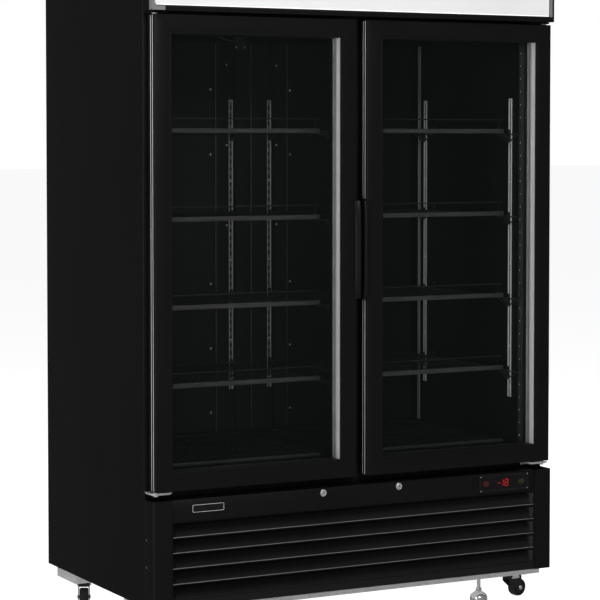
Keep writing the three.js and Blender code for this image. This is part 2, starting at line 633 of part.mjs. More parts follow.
// The grip is a bent strip that hooks over the stile's inner edge and stands in the door gap.
function doorGrip() {
  const inner = doorRight + GAP;
  const plan = [
    [doorRight - 6, DOOR_FACE - GAP], [doorRight - 6, DOOR_FACE - 3], [doorRight, DOOR_FACE - 9],
    [doorRight + 6, FRONT - FRONT_PROUD], [doorRight + 10, FRONT - FRONT_PROUD + 2],
    [doorRight + 12.5, FRONT - FRONT_PROUD + 8], [doorRight + 13, DOOR_FACE + 8],
    [doorRight + 12, DOOR_FACE + 14], [doorRight + 9.5, DOOR_FACE + 14],
    [doorRight + 9, DOOR_FACE + 2], [inner + 3, DOOR_FACE - GAP], [inner + 3, DOOR_FACE + 30],
    [inner, DOOR_FACE + 30], [inner, DOOR_FACE - GAP],
  ];
  return upright(plan.reverse(), GRIP_BOTTOM, GRIP_TOP);
}
for (const [name, side] of [['left', -1], ['right', 1]]) {
  add(`${name}_door_frame`, lockableFrame(side), doorBlack);
  add(`${name}_door_glass`, mirrored(doorGlass(), side), glassSheet);
  add(`${name}_door_seal`, mirrored(doorSeal(), side), sealRubber);
  add(`${name}_door_grip`, mirrored(doorGrip(), side), doorBlack);
}

// Hinge brackets: a leg on the body's front, a shelf plate, and a pin into the door's end.
function hingeBracket(up, doorEdge) {
  const reach = 4;
  const near = doorEdge - up * reach;
  const far = near - up * 4;
  const leg = far - up * (up > 0 ? 8 : 24);
  const zs = (a, b) => [Math.min(a, b), Math.max(a, b)];
  const [plateLow, plateHigh] = zs(near, far);
  const [legLow, legHigh] = zs(near, leg);
  const [pinLow, pinHigh] = zs(near - up * 2, doorEdge + up * 12);
  return join(
    box([-SIDE + 3, FRONT - 50, plateLow], [-SIDE + 78, FRONT - GAP, plateHigh]),
    box([-SIDE + 26, FRONT - GAP - 3, legLow], [-SIDE + 78, FRONT - GAP, legHigh]),
    rod(PIVOT_RADIUS, pinLow, pinHigh, -PIVOT_X, PIVOT_Y),
  );
}
for (const [name, side] of [['left', -1], ['right', 1]]) {
  add(`${name}_lower_hinge`, mirrored(hingeBracket(1, DOOR_BOTTOM), side), zinc);
  add(`${name}_upper_hinge`, mirrored(hingeBracket(-1, DOOR_TOP), side), zinc);
}

// ---- Castors --------------------------------------------------------------------------
// Worked out about the swivel axis, trailing towards +X, with the wheel's axle along Y.
const FORK_TOP = RACE_BOTTOM - GAP;
const CROWN_BOTTOM = WHEEL_RADIUS * 2 + 2;
const CHEEK_INNER = WHEEL_WIDTH / 2 + 0.8;
const CHEEK_OUTER = CHEEK_INNER + 3;
function fork() {
  const cheekSide = outline([
    [-24, FORK_TOP], [-24, 48], [TRAIL - 9, WHEEL_RADIUS - 9], [TRAIL, WHEEL_RADIUS - 13],
    [TRAIL + 9, WHEEL_RADIUS - 9], [TRAIL + 11, WHEEL_RADIUS], [26, 55], [24, FORK_TOP],
  ].reverse());
  const cheek = (y0) => new THREE.ExtrudeGeometry(cheekSide, { depth: 3, bevelEnabled: false })
    .rotateX(Math.PI / 2).translate(0, y0 + 3, 0);
  const axleHole = rodAlongY(4 + GAP / 2, -30, 30, TRAIL, WHEEL_RADIUS, 16);
  return cut(join(
    cheek(CHEEK_INNER),
    cheek(-CHEEK_OUTER),
    box([-24, -CHEEK_OUTER, CROWN_BOTTOM + 1], [24, CHEEK_OUTER, FORK_TOP]),
    rod(23, CROWN_BOTTOM + 3, FORK_TOP, 0, 0, 24),
  ), axleHole);
}
// The wheel turns with its axle, whose round heads show outside the fork.
function wheel() {
  const half = WHEEL_WIDTH / 2;
  const tread = turned([
    [0, -CHEEK_OUTER - 3], [6, -CHEEK_OUTER - 3], [6, -CHEEK_OUTER - GAP], [4, -CHEEK_OUTER - GAP],
    [4, -half], [WHEEL_RADIUS - 4, -half], [WHEEL_RADIUS, -half + 5], [WHEEL_RADIUS, half - 5],
    [WHEEL_RADIUS - 4, half], [4, half], [4, CHEEK_OUTER + GAP], [6, CHEEK_OUTER + GAP],
    [6, CHEEK_OUTER + 3], [0, CHEEK_OUTER + 3],
  ], 20);
  return tread.rotateX(-Math.PI / 2).translate(TRAIL, 0, WHEEL_RADIUS);
}
// The brake pedal is a tab over the wheel at the trailing end, hinged on the crown's edge.
function brakePedal() {
  return box([26 + 2 * GAP, -10, FORK_TOP - 6], [50, 10, FORK_TOP - 3]);
}
for (const [place, [x, y, turn]] of Object.entries(castorPlaces)) {
  const castor = new THREE.Group();
  castor.position.set(x, y, 0);
  castor.rotation.z = THREE.MathUtils.degToRad(turn);
  freezer.add(castor);
  add(`${place}_castor_fork`, fork(), castMetal, castor);
  add(`${place}_castor_wheel`, wheel(), wheelBlack, castor);
  if (place.startsWith('front')) {
    add(`${place}_brake_pedal`, brakePedal(), zinc, castor);
  }
}

// ---- Levelling feet -------------------------------------------------------------------
const levellingFoot = [
  [0, 0], [26, 0], [28, 3], [28, 15], [28, 22], [24, 30], [12, 38], [8, 40], [6, 46],
  [6, BEAM_BOTTOM + 20], [0, BEAM_BOTTOM + 20],
];
for (const [name, side] of [['left', -1], ['right', 1]]) {
  add(`${name}_levelling_foot`, turned(levellingFoot, 24, [side * FOOT_X, FOOT_Y, 0]), chrome);
}

export default freezer;
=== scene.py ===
"""Looks of a two-door upright display freezer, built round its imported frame.

Lengths are millimetres in the frame's own axes: X runs across the doors, the doors face -Y and Z
is up. They become metres once, where a mesh is made. Cells and noises are counted per metre.
"""

import functools
import logging
import math
from collections.abc import Sequence
from dataclasses import dataclass, field
from enum import Enum

import bpy
import numpy as np
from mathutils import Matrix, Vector


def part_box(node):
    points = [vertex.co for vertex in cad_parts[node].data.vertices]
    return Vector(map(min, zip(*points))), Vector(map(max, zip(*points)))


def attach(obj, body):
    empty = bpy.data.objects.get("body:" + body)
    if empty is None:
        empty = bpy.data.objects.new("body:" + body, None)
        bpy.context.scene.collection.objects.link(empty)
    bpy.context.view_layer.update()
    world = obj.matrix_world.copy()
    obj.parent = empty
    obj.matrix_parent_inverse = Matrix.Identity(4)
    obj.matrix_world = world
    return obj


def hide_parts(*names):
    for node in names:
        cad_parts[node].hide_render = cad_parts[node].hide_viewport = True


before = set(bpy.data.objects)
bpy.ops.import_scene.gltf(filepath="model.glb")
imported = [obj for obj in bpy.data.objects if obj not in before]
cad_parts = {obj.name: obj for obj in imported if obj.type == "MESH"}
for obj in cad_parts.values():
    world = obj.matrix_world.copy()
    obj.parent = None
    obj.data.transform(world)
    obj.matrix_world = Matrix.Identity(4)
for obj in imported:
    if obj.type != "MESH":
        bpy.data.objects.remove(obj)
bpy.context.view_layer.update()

Array = np.ndarray
Point = tuple[float, float, float]
Colour = tuple[float, float, float]
Socket = bpy.types.NodeSocket

LOG = logging.getLogger("freezer")
MM = 0.001
SIDES = (("left", -1.0), ("right", 1.0))
CREASE = math.radians(32)
BEVELLED = math.radians(40)
PATTERN_ENDS = (0.3, 0.7)


class Axis(Enum):
    """A direction of the frame, and the two directions across it."""

    X = (1, 2, 0)
    Y = (0, 2, 1)
    Z = (0, 1, 2)


@dataclass(frozen=True)
class Extent:
    """A node's box at rest, in millimetres."""

    low: Point
    high: Point

    @classmethod
    def of(cls, node: str) -> "Extent":
        """The box of a CAD node."""
        low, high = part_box(node)
        return cls(tuple(v / MM for v in low), tuple(v / MM for v in high))


# ---- Surfaces --------------------------------------------------------------------------------


@dataclass
class Surface:
    """A closed skin: its points, its four-sided faces and its flat lids."""

    points: Array
    quads: Array
    lids: list[Array] = field(default_factory=list)

    def outward(self) -> "Surface":
        """Turns every face to point out of the skin, by the sign of the enclosed volume.

        The volume is a sixth of the sum, over triangles, of a corner times the cross product of
        the other two. A lid counts as a fan of triangles from its first corner.

        Returns:
            The same surface, with its faces reversed if the volume was negative.
        """
        p = self.points - self.points.mean(axis=0)
        fans = [self.quads[:, [0, 1, 2]], self.quads[:, [0, 2, 3]]]
        for lid in self.lids:
            middle = len(lid) - 2
            fans.append(np.stack([np.repeat(lid[0], middle), lid[1:-1], lid[2:]], axis=1))
        corners = p[np.concatenate(fans)]
        volume = np.einsum("ij,ij->", corners[:, 0], np.cross(corners[:, 1], corners[:, 2]))
        if volume < 0:
            self.quads = self.quads[:, ::-1]
            self.lids = [lid[::-1] for lid in self.lids]
        return self

    def moved(self, x: float = 0, y: float = 0, z: float = 0) -> "Surface":
        """The surface shifted by a distance."""
        return Surface(self.points + np.array([x, y, z]), self.quads, self.lids)

    def turned(self, degrees: float, about: Sequence[float] = (0, 0)) -> "Surface":
        """The surface turned about an upright line through a point of the plan."""
        angle = math.radians(degrees)
        spin = np.array([[math.cos(angle), -math.sin(angle)], [math.sin(angle), math.cos(angle)]])
        points = self.points.copy()
        points[:, :2] = (points[:, :2] - about) @ spin.T + about
        return Surface(points, self.quads, self.lids)

    def mirrored(self, side: float) -> "Surface":
        """The surface as it is for the left side (-1), or reflected in X for the right (+1)."""
        if side < 0:
            return self
        return Surface(self.points * np.array([-1, 1, 1]), self.quads, self.lids).outward()


def laid(plane: Array, along: Array | float, axis: Axis) -> Array:
    """Puts points of a plane across an axis into space.

    Args:
        plane: points whose last dimension holds the two distances across the axis.
        along: their distance along the axis.
        axis: the axis.

    Returns:
        The points, with a last dimension of three.
    """
    u, v, w = axis.value
    out = np.empty(plane.shape[:-1] + (3,))
    out[..., u], out[..., v], out[..., w] = plane[..., 0], plane[..., 1], along
    return out


def loft(rings: Array, loop: bool = False) -> Surface:
    """Joins rings of equally many points into one skin.

    Face (i, j) takes points j and j + 1 of ring i and the same two of ring i + 1. The first and
    last rings carry flat lids, unless the rings themselves close into a loop.

    Args:
        rings: points, as ring by place on the ring by coordinate.
        loop: whether the last ring joins the first.

    Returns:
        The closed skin, facing outwards.
    """
    count, around, _ = rings.shape
    i = np.arange(count if loop else count - 1)[:, None]
    j = np.arange(around)[None, :]
    after_i, after_j = (i + 1) % count, (j + 1) % around
    corners = [i * around + j, i * around + after_j, after_i * around + after_j, after_i * around + j]
    quads = np.stack(np.broadcast_arrays(*corners), axis=-1).reshape(-1, 4)
    lids = [] if loop else [np.arange(around)[::-1], (count - 1) * around + np.arange(around)]
    return Surface(rings.reshape(-1, 3), quads, lids).outward()


def rounded(points: Sequence, radius: float | Sequence[float], steps: int = 4, closed: bool = True) -> Array:
    """Rounds the corners of a line or outline with arcs.

    At a corner whose half angle is h, the arc starts radius / tan(h) from the corner, and its
    points turn evenly about the centre that lies radius / sin(h) along the bisector.

    Args:
        points: the corners, in two or three dimensions.
        radius: one radius, or one for each corner.
        steps: stretches in each arc.
        closed: whether the line closes on itself; the ends of an open line stay as they are.

    Returns:
        The points of the rounded line.
    """
    p = np.asarray(points, float)
    r = np.broadcast_to(np.asarray(radius, float), (len(p),))
    before, after = np.roll(p, 1, axis=0), np.roll(p, -1, axis=0)
    if not closed:
        before, after, corner, r = p[:-2], p[2:], p[1:-1], r[1:-1]
    else:
        corner = p
    a = (before - corner) / np.linalg.norm(before - corner, axis=1, keepdims=True)
    b = (after - corner) / np.linalg.norm(after - corner, axis=1, keepdims=True)
    half = np.arccos(np.clip((a * b).sum(1), -1, 1)) / 2
    half = np.clip(half, 1e-3, math.pi / 2 - 1e-4)[:, None]
    bisector = a + b
    bisector /= np.maximum(np.linalg.norm(bisector, axis=1, keepdims=True), 1e-9)
    reach = np.maximum(r[:, None], 1e-3)
    centre = corner + bisector * reach / np.sin(half)
    start = (corner + a * reach / np.tan(half) - centre) / reach
    end = (corner + b * reach / np.tan(half) - centre) / reach
    sweep = (math.pi / 2 - half) * 2
    t = np.linspace(0, 1, steps + 1)[None, :, None]
    sweep = sweep[:, :, None]
    arc = (np.sin((1 - t) * sweep) * start[:, None] + np.sin(t * sweep) * end[:, None]) / np.sin(sweep)
    bends = (centre[:, None] + arc * reach[:, None]).reshape(-1, p.shape[1])
    return bends if closed else np.vstack([p[:1], bends, p[-1:]])


def rectangle(u0: float, v0: float, u1: float, v1: float, radius: float = 0.0, steps: int = 4) -> Array:
    """The outline of a rectangle from corner to corner, with rounded corners."""
    corners = [(u0, v0), (u1, v0), (u1, v1), (u0, v1)]
    return rounded(corners, radius, steps) if radius > 0 else np.array(corners, float)


def prism(outline: Sequence, start: float, end: float, axis: Axis) -> Surface:
    """An outline carried straight along an axis."""
    plane = np.asarray(outline, float)
    return loft(laid(np.stack([plane, plane]), np.array([[start], [end]]), axis))


def block(low: Sequence[float], high: Sequence[float], radius: float = 0.8, steps: int = 2) -> Surface:
    """A block with every edge rounded, as rounded rectangles carried up its Z.

    At the angle t from either end, the ring is drawn in by radius times (1 - sin t) and lies
    radius times (1 - cos t) from that end.

    Args:
        low: the lowest corner.
        high: the highest corner.
        radius: radius of the edges, kept under half of the thinnest side.
        steps: stretches in each quarter turn.

    Returns:
        The block's skin.
    """
    low, high = np.minimum(low, high).astype(float), np.maximum(low, high).astype(float)
    r = min(radius, 0.49 * float((high - low).min()))
    t = np.linspace(0, math.pi / 2, steps + 1)
    inset, rise = r * (1 - np.sin(t)), r * (1 - np.cos(t))
    inset = np.concatenate([inset, inset[::-1]])[:, None]
    height = np.concatenate([low[2] + rise, (high[2] - rise)[::-1]])[:, None]
    turn = np.linspace(0, math.pi / 2, steps + 1)[None] + np.arange(4)[:, None] * math.pi / 2
    turn = turn.reshape(-1)
    corner = np.repeat([[1, 1], [0, 1], [0, 0], [1, 0]], steps + 1, axis=0)
    centre = np.where(corner, high[:2] - r, low[:2] + r)
    spread = np.maximum(r - inset, 0.02 * r)
    x = centre[:, 0] + spread * np.cos(turn)
    y = centre[:, 1] + spread * np.sin(turn)
    return loft(np.stack([x, y, np.broadcast_to(height, x.shape)], axis=-1))


def lathe(profile: Sequence, centre: Sequence[float], axis: Axis = Axis.Z, around: int = 28) -> Surface:
    """A profile of [radius, distance along the axis] pairs turned about an axis.

    Ring i is a circle of the profile's i-th radius. Its place j stands at the angle 2 pi j /
    around. The first and last circles are closed by flat lids.

    Args:
        profile: the pairs, from end to end.
        centre: the point that the distances are counted from.
        axis: the axis of the turning.
        around: places on each circle; six gives a hexagon.

    Returns:
        The turned skin.
    """
    pairs = np.asarray(profile, float)
    angle = np.arange(around) * 2 * math.pi / around
    circle = np.stack([np.cos(angle), np.sin(angle)], axis=-1)
    rings = laid(pairs[:, None, :1] * circle[None], pairs[:, None, 1], axis)
    return loft(rings + np.asarray(centre, float))


def screw_head(centre: Sequence[float], radius: float, height: float, axis: Axis) -> Surface:
    """A domed head that stands from its seat along an axis; a negative height stands the other way."""
    t = np.linspace(0.12, 1, 5) * math.pi / 2
    dome = [(radius * math.sin(a), height * math.cos(a)) for a in t]
    return lathe([*dome, (radius, -0.2 * height)], centre, axis, 14)


def tube(path: Sequence, radius: float, around: int = 8, loop: bool = False) -> Surface:
    """A round wire or pipe along a line.

    Each ring stands square to the line: its first direction is the tangent crossed with the
    direction in which the line spreads least, and its second is square to both.

    Args:
        path: the points of the line.
        radius: the wire's radius.
        around: places on each ring.
        loop: whether the line closes on itself.

    Returns:
        The wire's skin.
    """
    p = np.asarray(path, float)
    if loop:
        tangent = np.roll(p, -1, axis=0) - np.roll(p, 1, axis=0)
    else:
        tangent = np.gradient(p, axis=0)
    tangent /= np.linalg.norm(tangent, axis=1, keepdims=True)
    least = np.eye(3)[int(np.argmin(np.ptp(p, axis=0)))]
    first = np.cross(tangent, least)
    first /= np.maximum(np.linalg.norm(first, axis=1, keepdims=True), 1e-6)
    second = np.cross(tangent, first)
    angle = np.arange(around) * 2 * math.pi / around
    circle = first[:, None] * np.cos(angle)[None, :, None] + second[:, None] * np.sin(angle)[None, :, None]
    return loft(p[:, None] + radius * circle, loop)


def mitred_bars(
    profile: Sequence, low: Sequence[float], high: Sequence[float], joint: float,
) -> list[Surface]:
    """Four bars round an upright rectangle, with ends cut at 45 degrees.

    A profile point at the inset i runs along the side's line moved inwards by i, and stops i
    short of each corner, so that each end lies in the corner's diagonal plane.

    Args:
        profile: [inset from the outer edge, y] pairs.
        low: x and z of the rectangle's lower left corner.
        high: x and z of its upper right corner.
        joint: width of the hairline between two bars.

    Returns:
        The four bars: bottom, right, top and left.
    """
    inset, depth = np.asarray(profile, float).T
    (x0, z0), (x1, z1) = low, high
    corners = np.array([(x0, z0), (x1, z0), (x1, z1), (x0, z1)], float)
    bars = []
    for start, end in zip(corners, np.roll(corners, -1, axis=0)):
        along = (end - start) / np.linalg.norm(end - start)
        inward = np.array([-along[1], along[0]])
        first = start + inset[:, None] * (inward + along) + along * joint / 2
        last = end + inset[:, None] * (inward - along) - along * joint / 2
        bars.append(loft(laid(np.stack([first, last]), depth[None], Axis.Y)))
    return bars


def framed(outer: Array, inner: Array, section: Sequence) -> Surface:
    """A closed frame between two outlines of equally many points.

    A section entry [f, y] gives one ring, which is (1 - f) outer + f inner at the depth y.

    Args:
        outer: x and z of the outer outline.
        inner: x and z of the inner outline.
        section: the entries, once round the frame's section.

    Returns:
        The frame's skin.
    """
    share, depth = np.asarray(section, float).T
    plane = outer[None] * (1 - share[:, None, None]) + inner[None] * share[:, None, None]
    return loft(laid(plane, depth[:, None], Axis.Y), loop=True)


def around_frame(profile: Sequence, low: Sequence[float], high: Sequence[float], radius: float) -> Surface:
    """A profile of [inset, y] pairs carried round an upright rectangle without a break."""
    inset, depth = np.asarray(profile, float).T
    (x0, z0), (x1, z1) = low, high
    rings = np.stack([
        rectangle(x0 + i, z0 + i, x1 - i, z1 - i, max(radius - i, 0.6)) for i in inset
    ])
    return loft(laid(rings, depth[:, None], Axis.Y), loop=True)


# ---- Finishes --------------------------------------------------------------------------------


class Recipe:
    """The node tree of one finish, which starts from one Principled shader."""

    def __init__(self, name: str) -> None:
        """Makes an empty recipe of that name."""
        self.material = bpy.data.materials.new(name)
        self.material.use_nodes = True
        self.tree = self.material.node_tree
        self.shader = self.tree.nodes["Principled BSDF"]
        self.place = self.tree.nodes.new("ShaderNodeTexCoord").outputs["Object"]

    def constants(self, **values: float | Colour) -> None:
        """Sets sockets of the shader, named with an underscore for each space."""
        for name, value in values.items():
            socket = self.shader.inputs[name.replace("_", " ")]
            socket.default_value = (*value, 1.0) if isinstance(value, tuple) else value

    def pattern(
        self, kind: str, scale: float, stretch: Point = (1, 1, 1), output: int = 0, **inputs: float,
    ) -> Socket:
        """Adds a texture read at the object's own coordinates.

        Args:
            kind: Noise or Voronoi.
            scale: features per metre.
            stretch: factor on each direction; a small one draws the pattern out.
            output: which of the texture's outputs is wanted.
            inputs: further sockets of the texture.

        Returns:
            The texture's output socket.
        """
        mapping = self.tree.nodes.new("ShaderNodeMapping")
        mapping.inputs["Scale"].default_value = stretch
        self.tree.links.new(self.place, mapping.inputs["Vector"])
        texture = self.tree.nodes.new(f"ShaderNodeTex{kind}")
        texture.inputs["Scale"].default_value = scale
        for name, value in inputs.items():
            texture.inputs[name].default_value = value
        self.tree.links.new(mapping.outputs["Vector"], texture.inputs["Vector"])
        return texture.outputs[output]

    def span(self, factor: Socket, low: float, high: float) -> Socket:
        """Maps a pattern, between its usual ends, onto a range of values.

        Args:
            factor: the pattern's socket.
            low: value at the pattern's low end.
            high: value at its high end.

        Returns:
            The socket of the mapped value.
        """
        node = self.tree.nodes.new("ShaderNodeMapRange")
        for name, value in zip(("From Min", "From Max", "To Min", "To Max"), (*PATTERN_ENDS, low, high)):
            node.inputs[name].default_value = value
        self.tree.links.new(factor, node.inputs["Value"])
        return node.outputs["Result"]

    def tones(self, factor: Socket, low: Colour, high: Colour, target: str = "Base Color") -> None:
        """Runs a colour socket from one tone to another with a pattern.

        Args:
            factor: the pattern's socket.
            low: tone at the pattern's low end.
            high: tone at its high end.
            target: the shader's colour socket.
        """
        ramp = self.tree.nodes.new("ShaderNodeValToRGB")
        for element, place, tone in zip(ramp.color_ramp.elements, PATTERN_ENDS, (low, high)):
            element.position = place
            element.color = (*tone, 1.0)
        self.tree.links.new(factor, ramp.inputs["Fac"])
        self.tree.links.new(ramp.outputs["Color"], self.shader.inputs[target])

    def roughness(self, factor: Socket, low: float, high: float) -> None:
        """Lets a pattern drive the roughness between two values."""
        self.tree.links.new(self.span(factor, low, high), self.shader.inputs["Roughness"])

    def relief(self, factor: Socket, height: float, strength: float = 0.5) -> None:
        """Raises a pattern by a height in millimetres, as bump."""
        bump = self.tree.nodes.new("ShaderNodeBump")
        bump.inputs["Distance"].default_value = height * MM
        bump.inputs["Strength"].default_value = strength
        self.tree.links.new(factor, bump.inputs["Height"])
        self.tree.links.new(bump.outputs["Normal"], self.shader.inputs["Normal"])


def tinted(colour: Colour, factor: float) -> Colour:
    """A colour made lighter or darker by a factor."""
    return tuple(min(1.0, c * factor) for c in colour)


@dataclass(frozen=True)
class Finish:
    """What a surface is made of. Its make method gives the node material."""

    name: str
    colour: Colour
    rough: float

    def recipe(self) -> Recipe:
        """An empty recipe with this finish's colour and roughness as constants."""
        recipe = Recipe(self.name)
        recipe.constants(Base_Color=self.colour, Roughness=self.rough)
        return recipe

    def shade(self, recipe: Recipe, factor: Socket, dark: float, light: float) -> None:
        """Lets a pattern run the colour between a darker and a lighter tint of itself."""
        recipe.tones(factor, tinted(self.colour, dark), tinted(self.colour, light))


@dataclass(frozen=True)
class PowderCoat(Finish):
    """Sprayed and baked paint: a fine orange peel, faint cloudiness and duller patches."""

    gloss: float = 0.3
    peel: float = 0.02

    def make(self) -> bpy.types.Material:
        """Builds the material."""
        recipe = self.recipe()
        recipe.constants(Specular_IOR_Level=self.gloss)
        self.shade(recipe, recipe.pattern("Noise", 3.1, Detail=5.0), 0.93, 1.08)
        smear = recipe.pattern("Noise", 9.0, stretch=(1, 1, 0.35), Detail=6.0, Roughness=0.6)
        recipe.roughness(smear, self.rough * 0.94, self.rough * 1.07)
        recipe.relief(recipe.pattern("Noise", 620.0, Detail=2.0), self.peel, 0.3)
        return recipe.material


@dataclass(frozen=True)
class Moulded(Finish):
    """Moulded plastic: an even fine grain and slight changes of tone."""

    gloss: float = 0.35
    grain: float = 0.03

    def make(self) -> bpy.types.Material:
        """Builds the material."""
        recipe = self.recipe()
        recipe.constants(Specular_IOR_Level=self.gloss)
        self.shade(recipe, recipe.pattern("Noise", 14.0, Detail=4.0), 0.88, 1.14)
        recipe.roughness(recipe.pattern("Noise", 40.0, Detail=5.0), self.rough * 0.9, self.rough * 1.12)
        recipe.relief(recipe.pattern("Voronoi", 1500.0), self.grain, 0.4)
        return recipe.material


@dataclass(frozen=True)
class Brushed(Finish):
    """Bare metal with fine lines along one direction of the frame."""

    along: Axis = Axis.Z
    metal: float = 1.0

    def make(self) -> bpy.types.Material:
        """Builds the material. The lines are a noise drawn out forty times along its direction."""
        recipe = self.recipe()
        recipe.constants(Metallic=self.metal)
        stretch = [1.0, 1.0, 1.0]
        stretch[self.along.value[2]] = 0.025
        lines = recipe.pattern("Noise", 900.0, stretch=tuple(stretch), Detail=3.0)
        self.shade(recipe, lines, 0.8, 1.12)
        recipe.roughness(recipe.pattern("Noise", 22.0, Detail=5.0), self.rough * 0.8, self.rough * 1.25)
        recipe.relief(lines, 0.02, 0.3)
        return recipe.material


@dataclass(frozen=True)
class Galvanised(Finish):
    """Hot-dipped steel: angular crystals that differ in tone and sheen."""

    def make(self) -> bpy.types.Material:
        """Builds the material. Each cell of a Voronoi pattern takes one random tone."""
        recipe = self.recipe()
        recipe.constants(Metallic=0.35)
        crystals = recipe.pattern("Voronoi", 120.0, output=1)
        self.shade(recipe, crystals, 0.93, 1.05)
        recipe.roughness(crystals, self.rough * 0.85, self.rough * 1.15)
        recipe.relief(recipe.pattern("Noise", 260.0, Detail=4.0), 0.03, 0.3)
        return recipe.material


@dataclass(frozen=True)
class Plated(Finish):
    """Plated metal: nearly a mirror, with fine wear marks and dulled patches."""

    metal: float = 1.0

    def make(self) -> bpy.types.Material:
        """Builds the material."""
        recipe = self.recipe()
        recipe.constants(Metallic=self.metal)
        self.shade(recipe, recipe.pattern("Noise", 60.0, Detail=5.0), 0.86, 1.05)
        wear = recipe.pattern("Noise", 300.0, Detail=8.0, Roughness=0.7)
        recipe.roughness(wear, self.rough * 0.7, self.rough * 1.5)
        recipe.relief(wear, 0.006, 0.3)
        return recipe.material


@dataclass(frozen=True)
class Rubber(Finish):
    """Soft rubber or cast rubber tread: matt, with a chalky bloom."""

    def make(self) -> bpy.types.Material:
        """Builds the material."""
        recipe = self.recipe()
        recipe.constants(Specular_IOR_Level=0.25)
        bloom = recipe.pattern("Noise", 55.0, Detail=7.0, Roughness=0.65)
        self.shade(recipe, bloom, 0.75, 1.5)
        recipe.roughness(bloom, self.rough * 0.92, min(1.0, self.rough * 1.1))
        recipe.relief(recipe.pattern("Noise", 900.0, Detail=3.0), 0.04, 0.4)
        return recipe.material


@dataclass(frozen=True)
class Pane(Finish):
    """A sheet of clear glass, with faint wiping marks in its gloss."""

    cover: float = 0.1

    def make(self) -> bpy.types.Material:
        """Builds the material."""
        recipe = self.recipe()
        recipe.constants(Alpha=self.cover, IOR=1.5, Specular_IOR_Level=0.55)
        marks = recipe.pattern("Noise", 5.0, stretch=(1, 1, 0.4), Detail=6.0)
        self.shade(recipe, marks, 0.9, 1.1)
        recipe.roughness(marks, self.rough * 0.6, self.rough * 1.6)
        return recipe.material


@dataclass(frozen=True)
class Glowing(Finish):
    """A lit surface, or opal plastic with a lamp behind it, slightly uneven."""

    strength: float = 1.0

    def make(self) -> bpy.types.Material:
        """Builds the material."""
        recipe = self.recipe()
        recipe.constants(Emission_Strength=self.strength)
        haze = recipe.pattern("Noise", 4.0, Detail=3.0)
        self.shade(recipe, haze, 0.97, 1.03)
        recipe.tones(haze, tinted(self.colour, 0.95), self.colour, "Emission Color")
        recipe.relief(recipe.pattern("Noise", 400.0, Detail=2.0), 0.01, 0.2)
        return recipe.material


@dataclass(frozen=True)
class Foamed(Finish):
    """Cut polyurethane foam: open cells in a warm tone."""

    def make(self) -> bpy.types.Material:
        """Builds the material."""
        recipe = self.recipe()
        recipe.constants(Specular_IOR_Level=0.1)
        self.shade(recipe, recipe.pattern("Noise", 18.0, Detail=6.0), 0.75, 1.08)
        recipe.relief(recipe.pattern("Voronoi", 700.0), 0.6, 0.6)
        return recipe.material


@functools.cache
def material_of(finish: Finish) -> bpy.types.Material:
    """The one material of a finish, made when it is first wanted."""
    return finish.make()


BODY_PAINT = PowderCoat("body_paint", (0.0048, 0.0048, 0.005), 0.42, gloss=0.16)
DOOR_PAINT = PowderCoat("door_paint", (0.0046, 0.0046, 0.0048), 0.34, gloss=0.18, peel=0.01)
TRIM_BLACK = Moulded("trim_black", (0.006, 0.006, 0.0065), 0.4, gloss=0.3)
SILL_PAINT = PowderCoat("sill_paint", (0.008, 0.008, 0.0083), 0.42, gloss=0.25)
LINER = Moulded("liner_plastic", (0.003, 0.003, 0.0031), 0.5, gloss=0.12)
DUCT_PAINT = PowderCoat("duct_paint", (0.0055, 0.0055, 0.0058), 0.5, gloss=0.2)
FOAM = Foamed("foam", (0.62, 0.5, 0.22), 0.95)
STEEL = Galvanised("galvanised_steel", (0.6, 0.605, 0.61), 0.42)
ZINC = Plated("zinc_plate", (0.74, 0.74, 0.72), 0.3, metal=0.6)
CHROME = Plated("chrome_plate", (0.82, 0.82, 0.83), 0.16, metal=0.75)
SILVER = Brushed("silver_trim", (0.76, 0.76, 0.77), 0.38, metal=0.3)
DULL_SILVER = Brushed("dull_silver", (0.2, 0.2, 0.202), 0.45, metal=0.3)
GREY_CAP = Moulded("grey_cap", (0.16, 0.16, 0.16), 0.45)
REVEAL_GREY = Moulded("reveal_grey", (0.22, 0.222, 0.225), 0.5)
LAMP_GREY = Moulded("lamp_grey", (0.028, 0.0285, 0.03), 0.45)
WIRE = PowderCoat("wire_coat", (0.011, 0.011, 0.011), 0.38, gloss=0.4)
RAIL = PowderCoat("rail_coat", (0.045, 0.045, 0.046), 0.36, gloss=0.4)
# A much lighter coat for the louvre lips: a painted highlight along each lip's edge.
LIP_HIGHLIGHT = PowderCoat("lip_painted_highlight", (0.11, 0.11, 0.112), 0.34, gloss=0.5)
SEAL = Rubber("door_seal_rubber", (0.008, 0.008, 0.008), 0.72)
TREAD = Rubber("wheel_rubber", (0.012, 0.012, 0.012), 0.6)
FORK_COAT = PowderCoat("fork_coat", (0.012, 0.012, 0.0125), 0.45, gloss=0.4, peel=0.05)
CAST = PowderCoat("cast_coat", (0.018, 0.018, 0.019), 0.4, gloss=0.4, peel=0.06)
FINS = Brushed("fin_metal", (0.6, 0.62, 0.63), 0.35)
COPPER = Plated("copper_pipe", (0.72, 0.36, 0.2), 0.28, metal=0.8)
FAN_PLASTIC = Moulded("fan_plastic", (0.012, 0.012, 0.012), 0.42)
OPAL = Glowing("opal_acrylic", (0.7, 0.7, 0.705), 0.3, strength=0.03)
OPAL_EDGE = Glowing("opal_edge", (0.9, 0.9, 0.9), 0.2, strength=0.3)
GLASS = Pane("clear_glass", (0.012, 0.014, 0.014), 0.03, cover=0.07)
DISPLAY = Moulded("display_window", (0.005, 0.004, 0.004), 0.2, gloss=0.5, grain=0.005)
KEY_RED = Moulded("key_red", (0.05, 0.008, 0.006), 0.35)
KEY_GREEN = Moulded("key_green", (0.016, 0.024, 0.008), 0.35)
DIGIT = Glowing("lit_digit", (0.4, 0.006, 0.004), 0.4, strength=0.32)
LED = Glowing("lamp_spot", (0.8, 0.8, 0.82), 0.3, strength=0.4)
# Near black for the blocks in the duct's slots: painted shade of the openings.
SLOT_SHADE = Rubber("slot_painted_shade", (0.0015, 0.0015, 0.0015), 0.9)


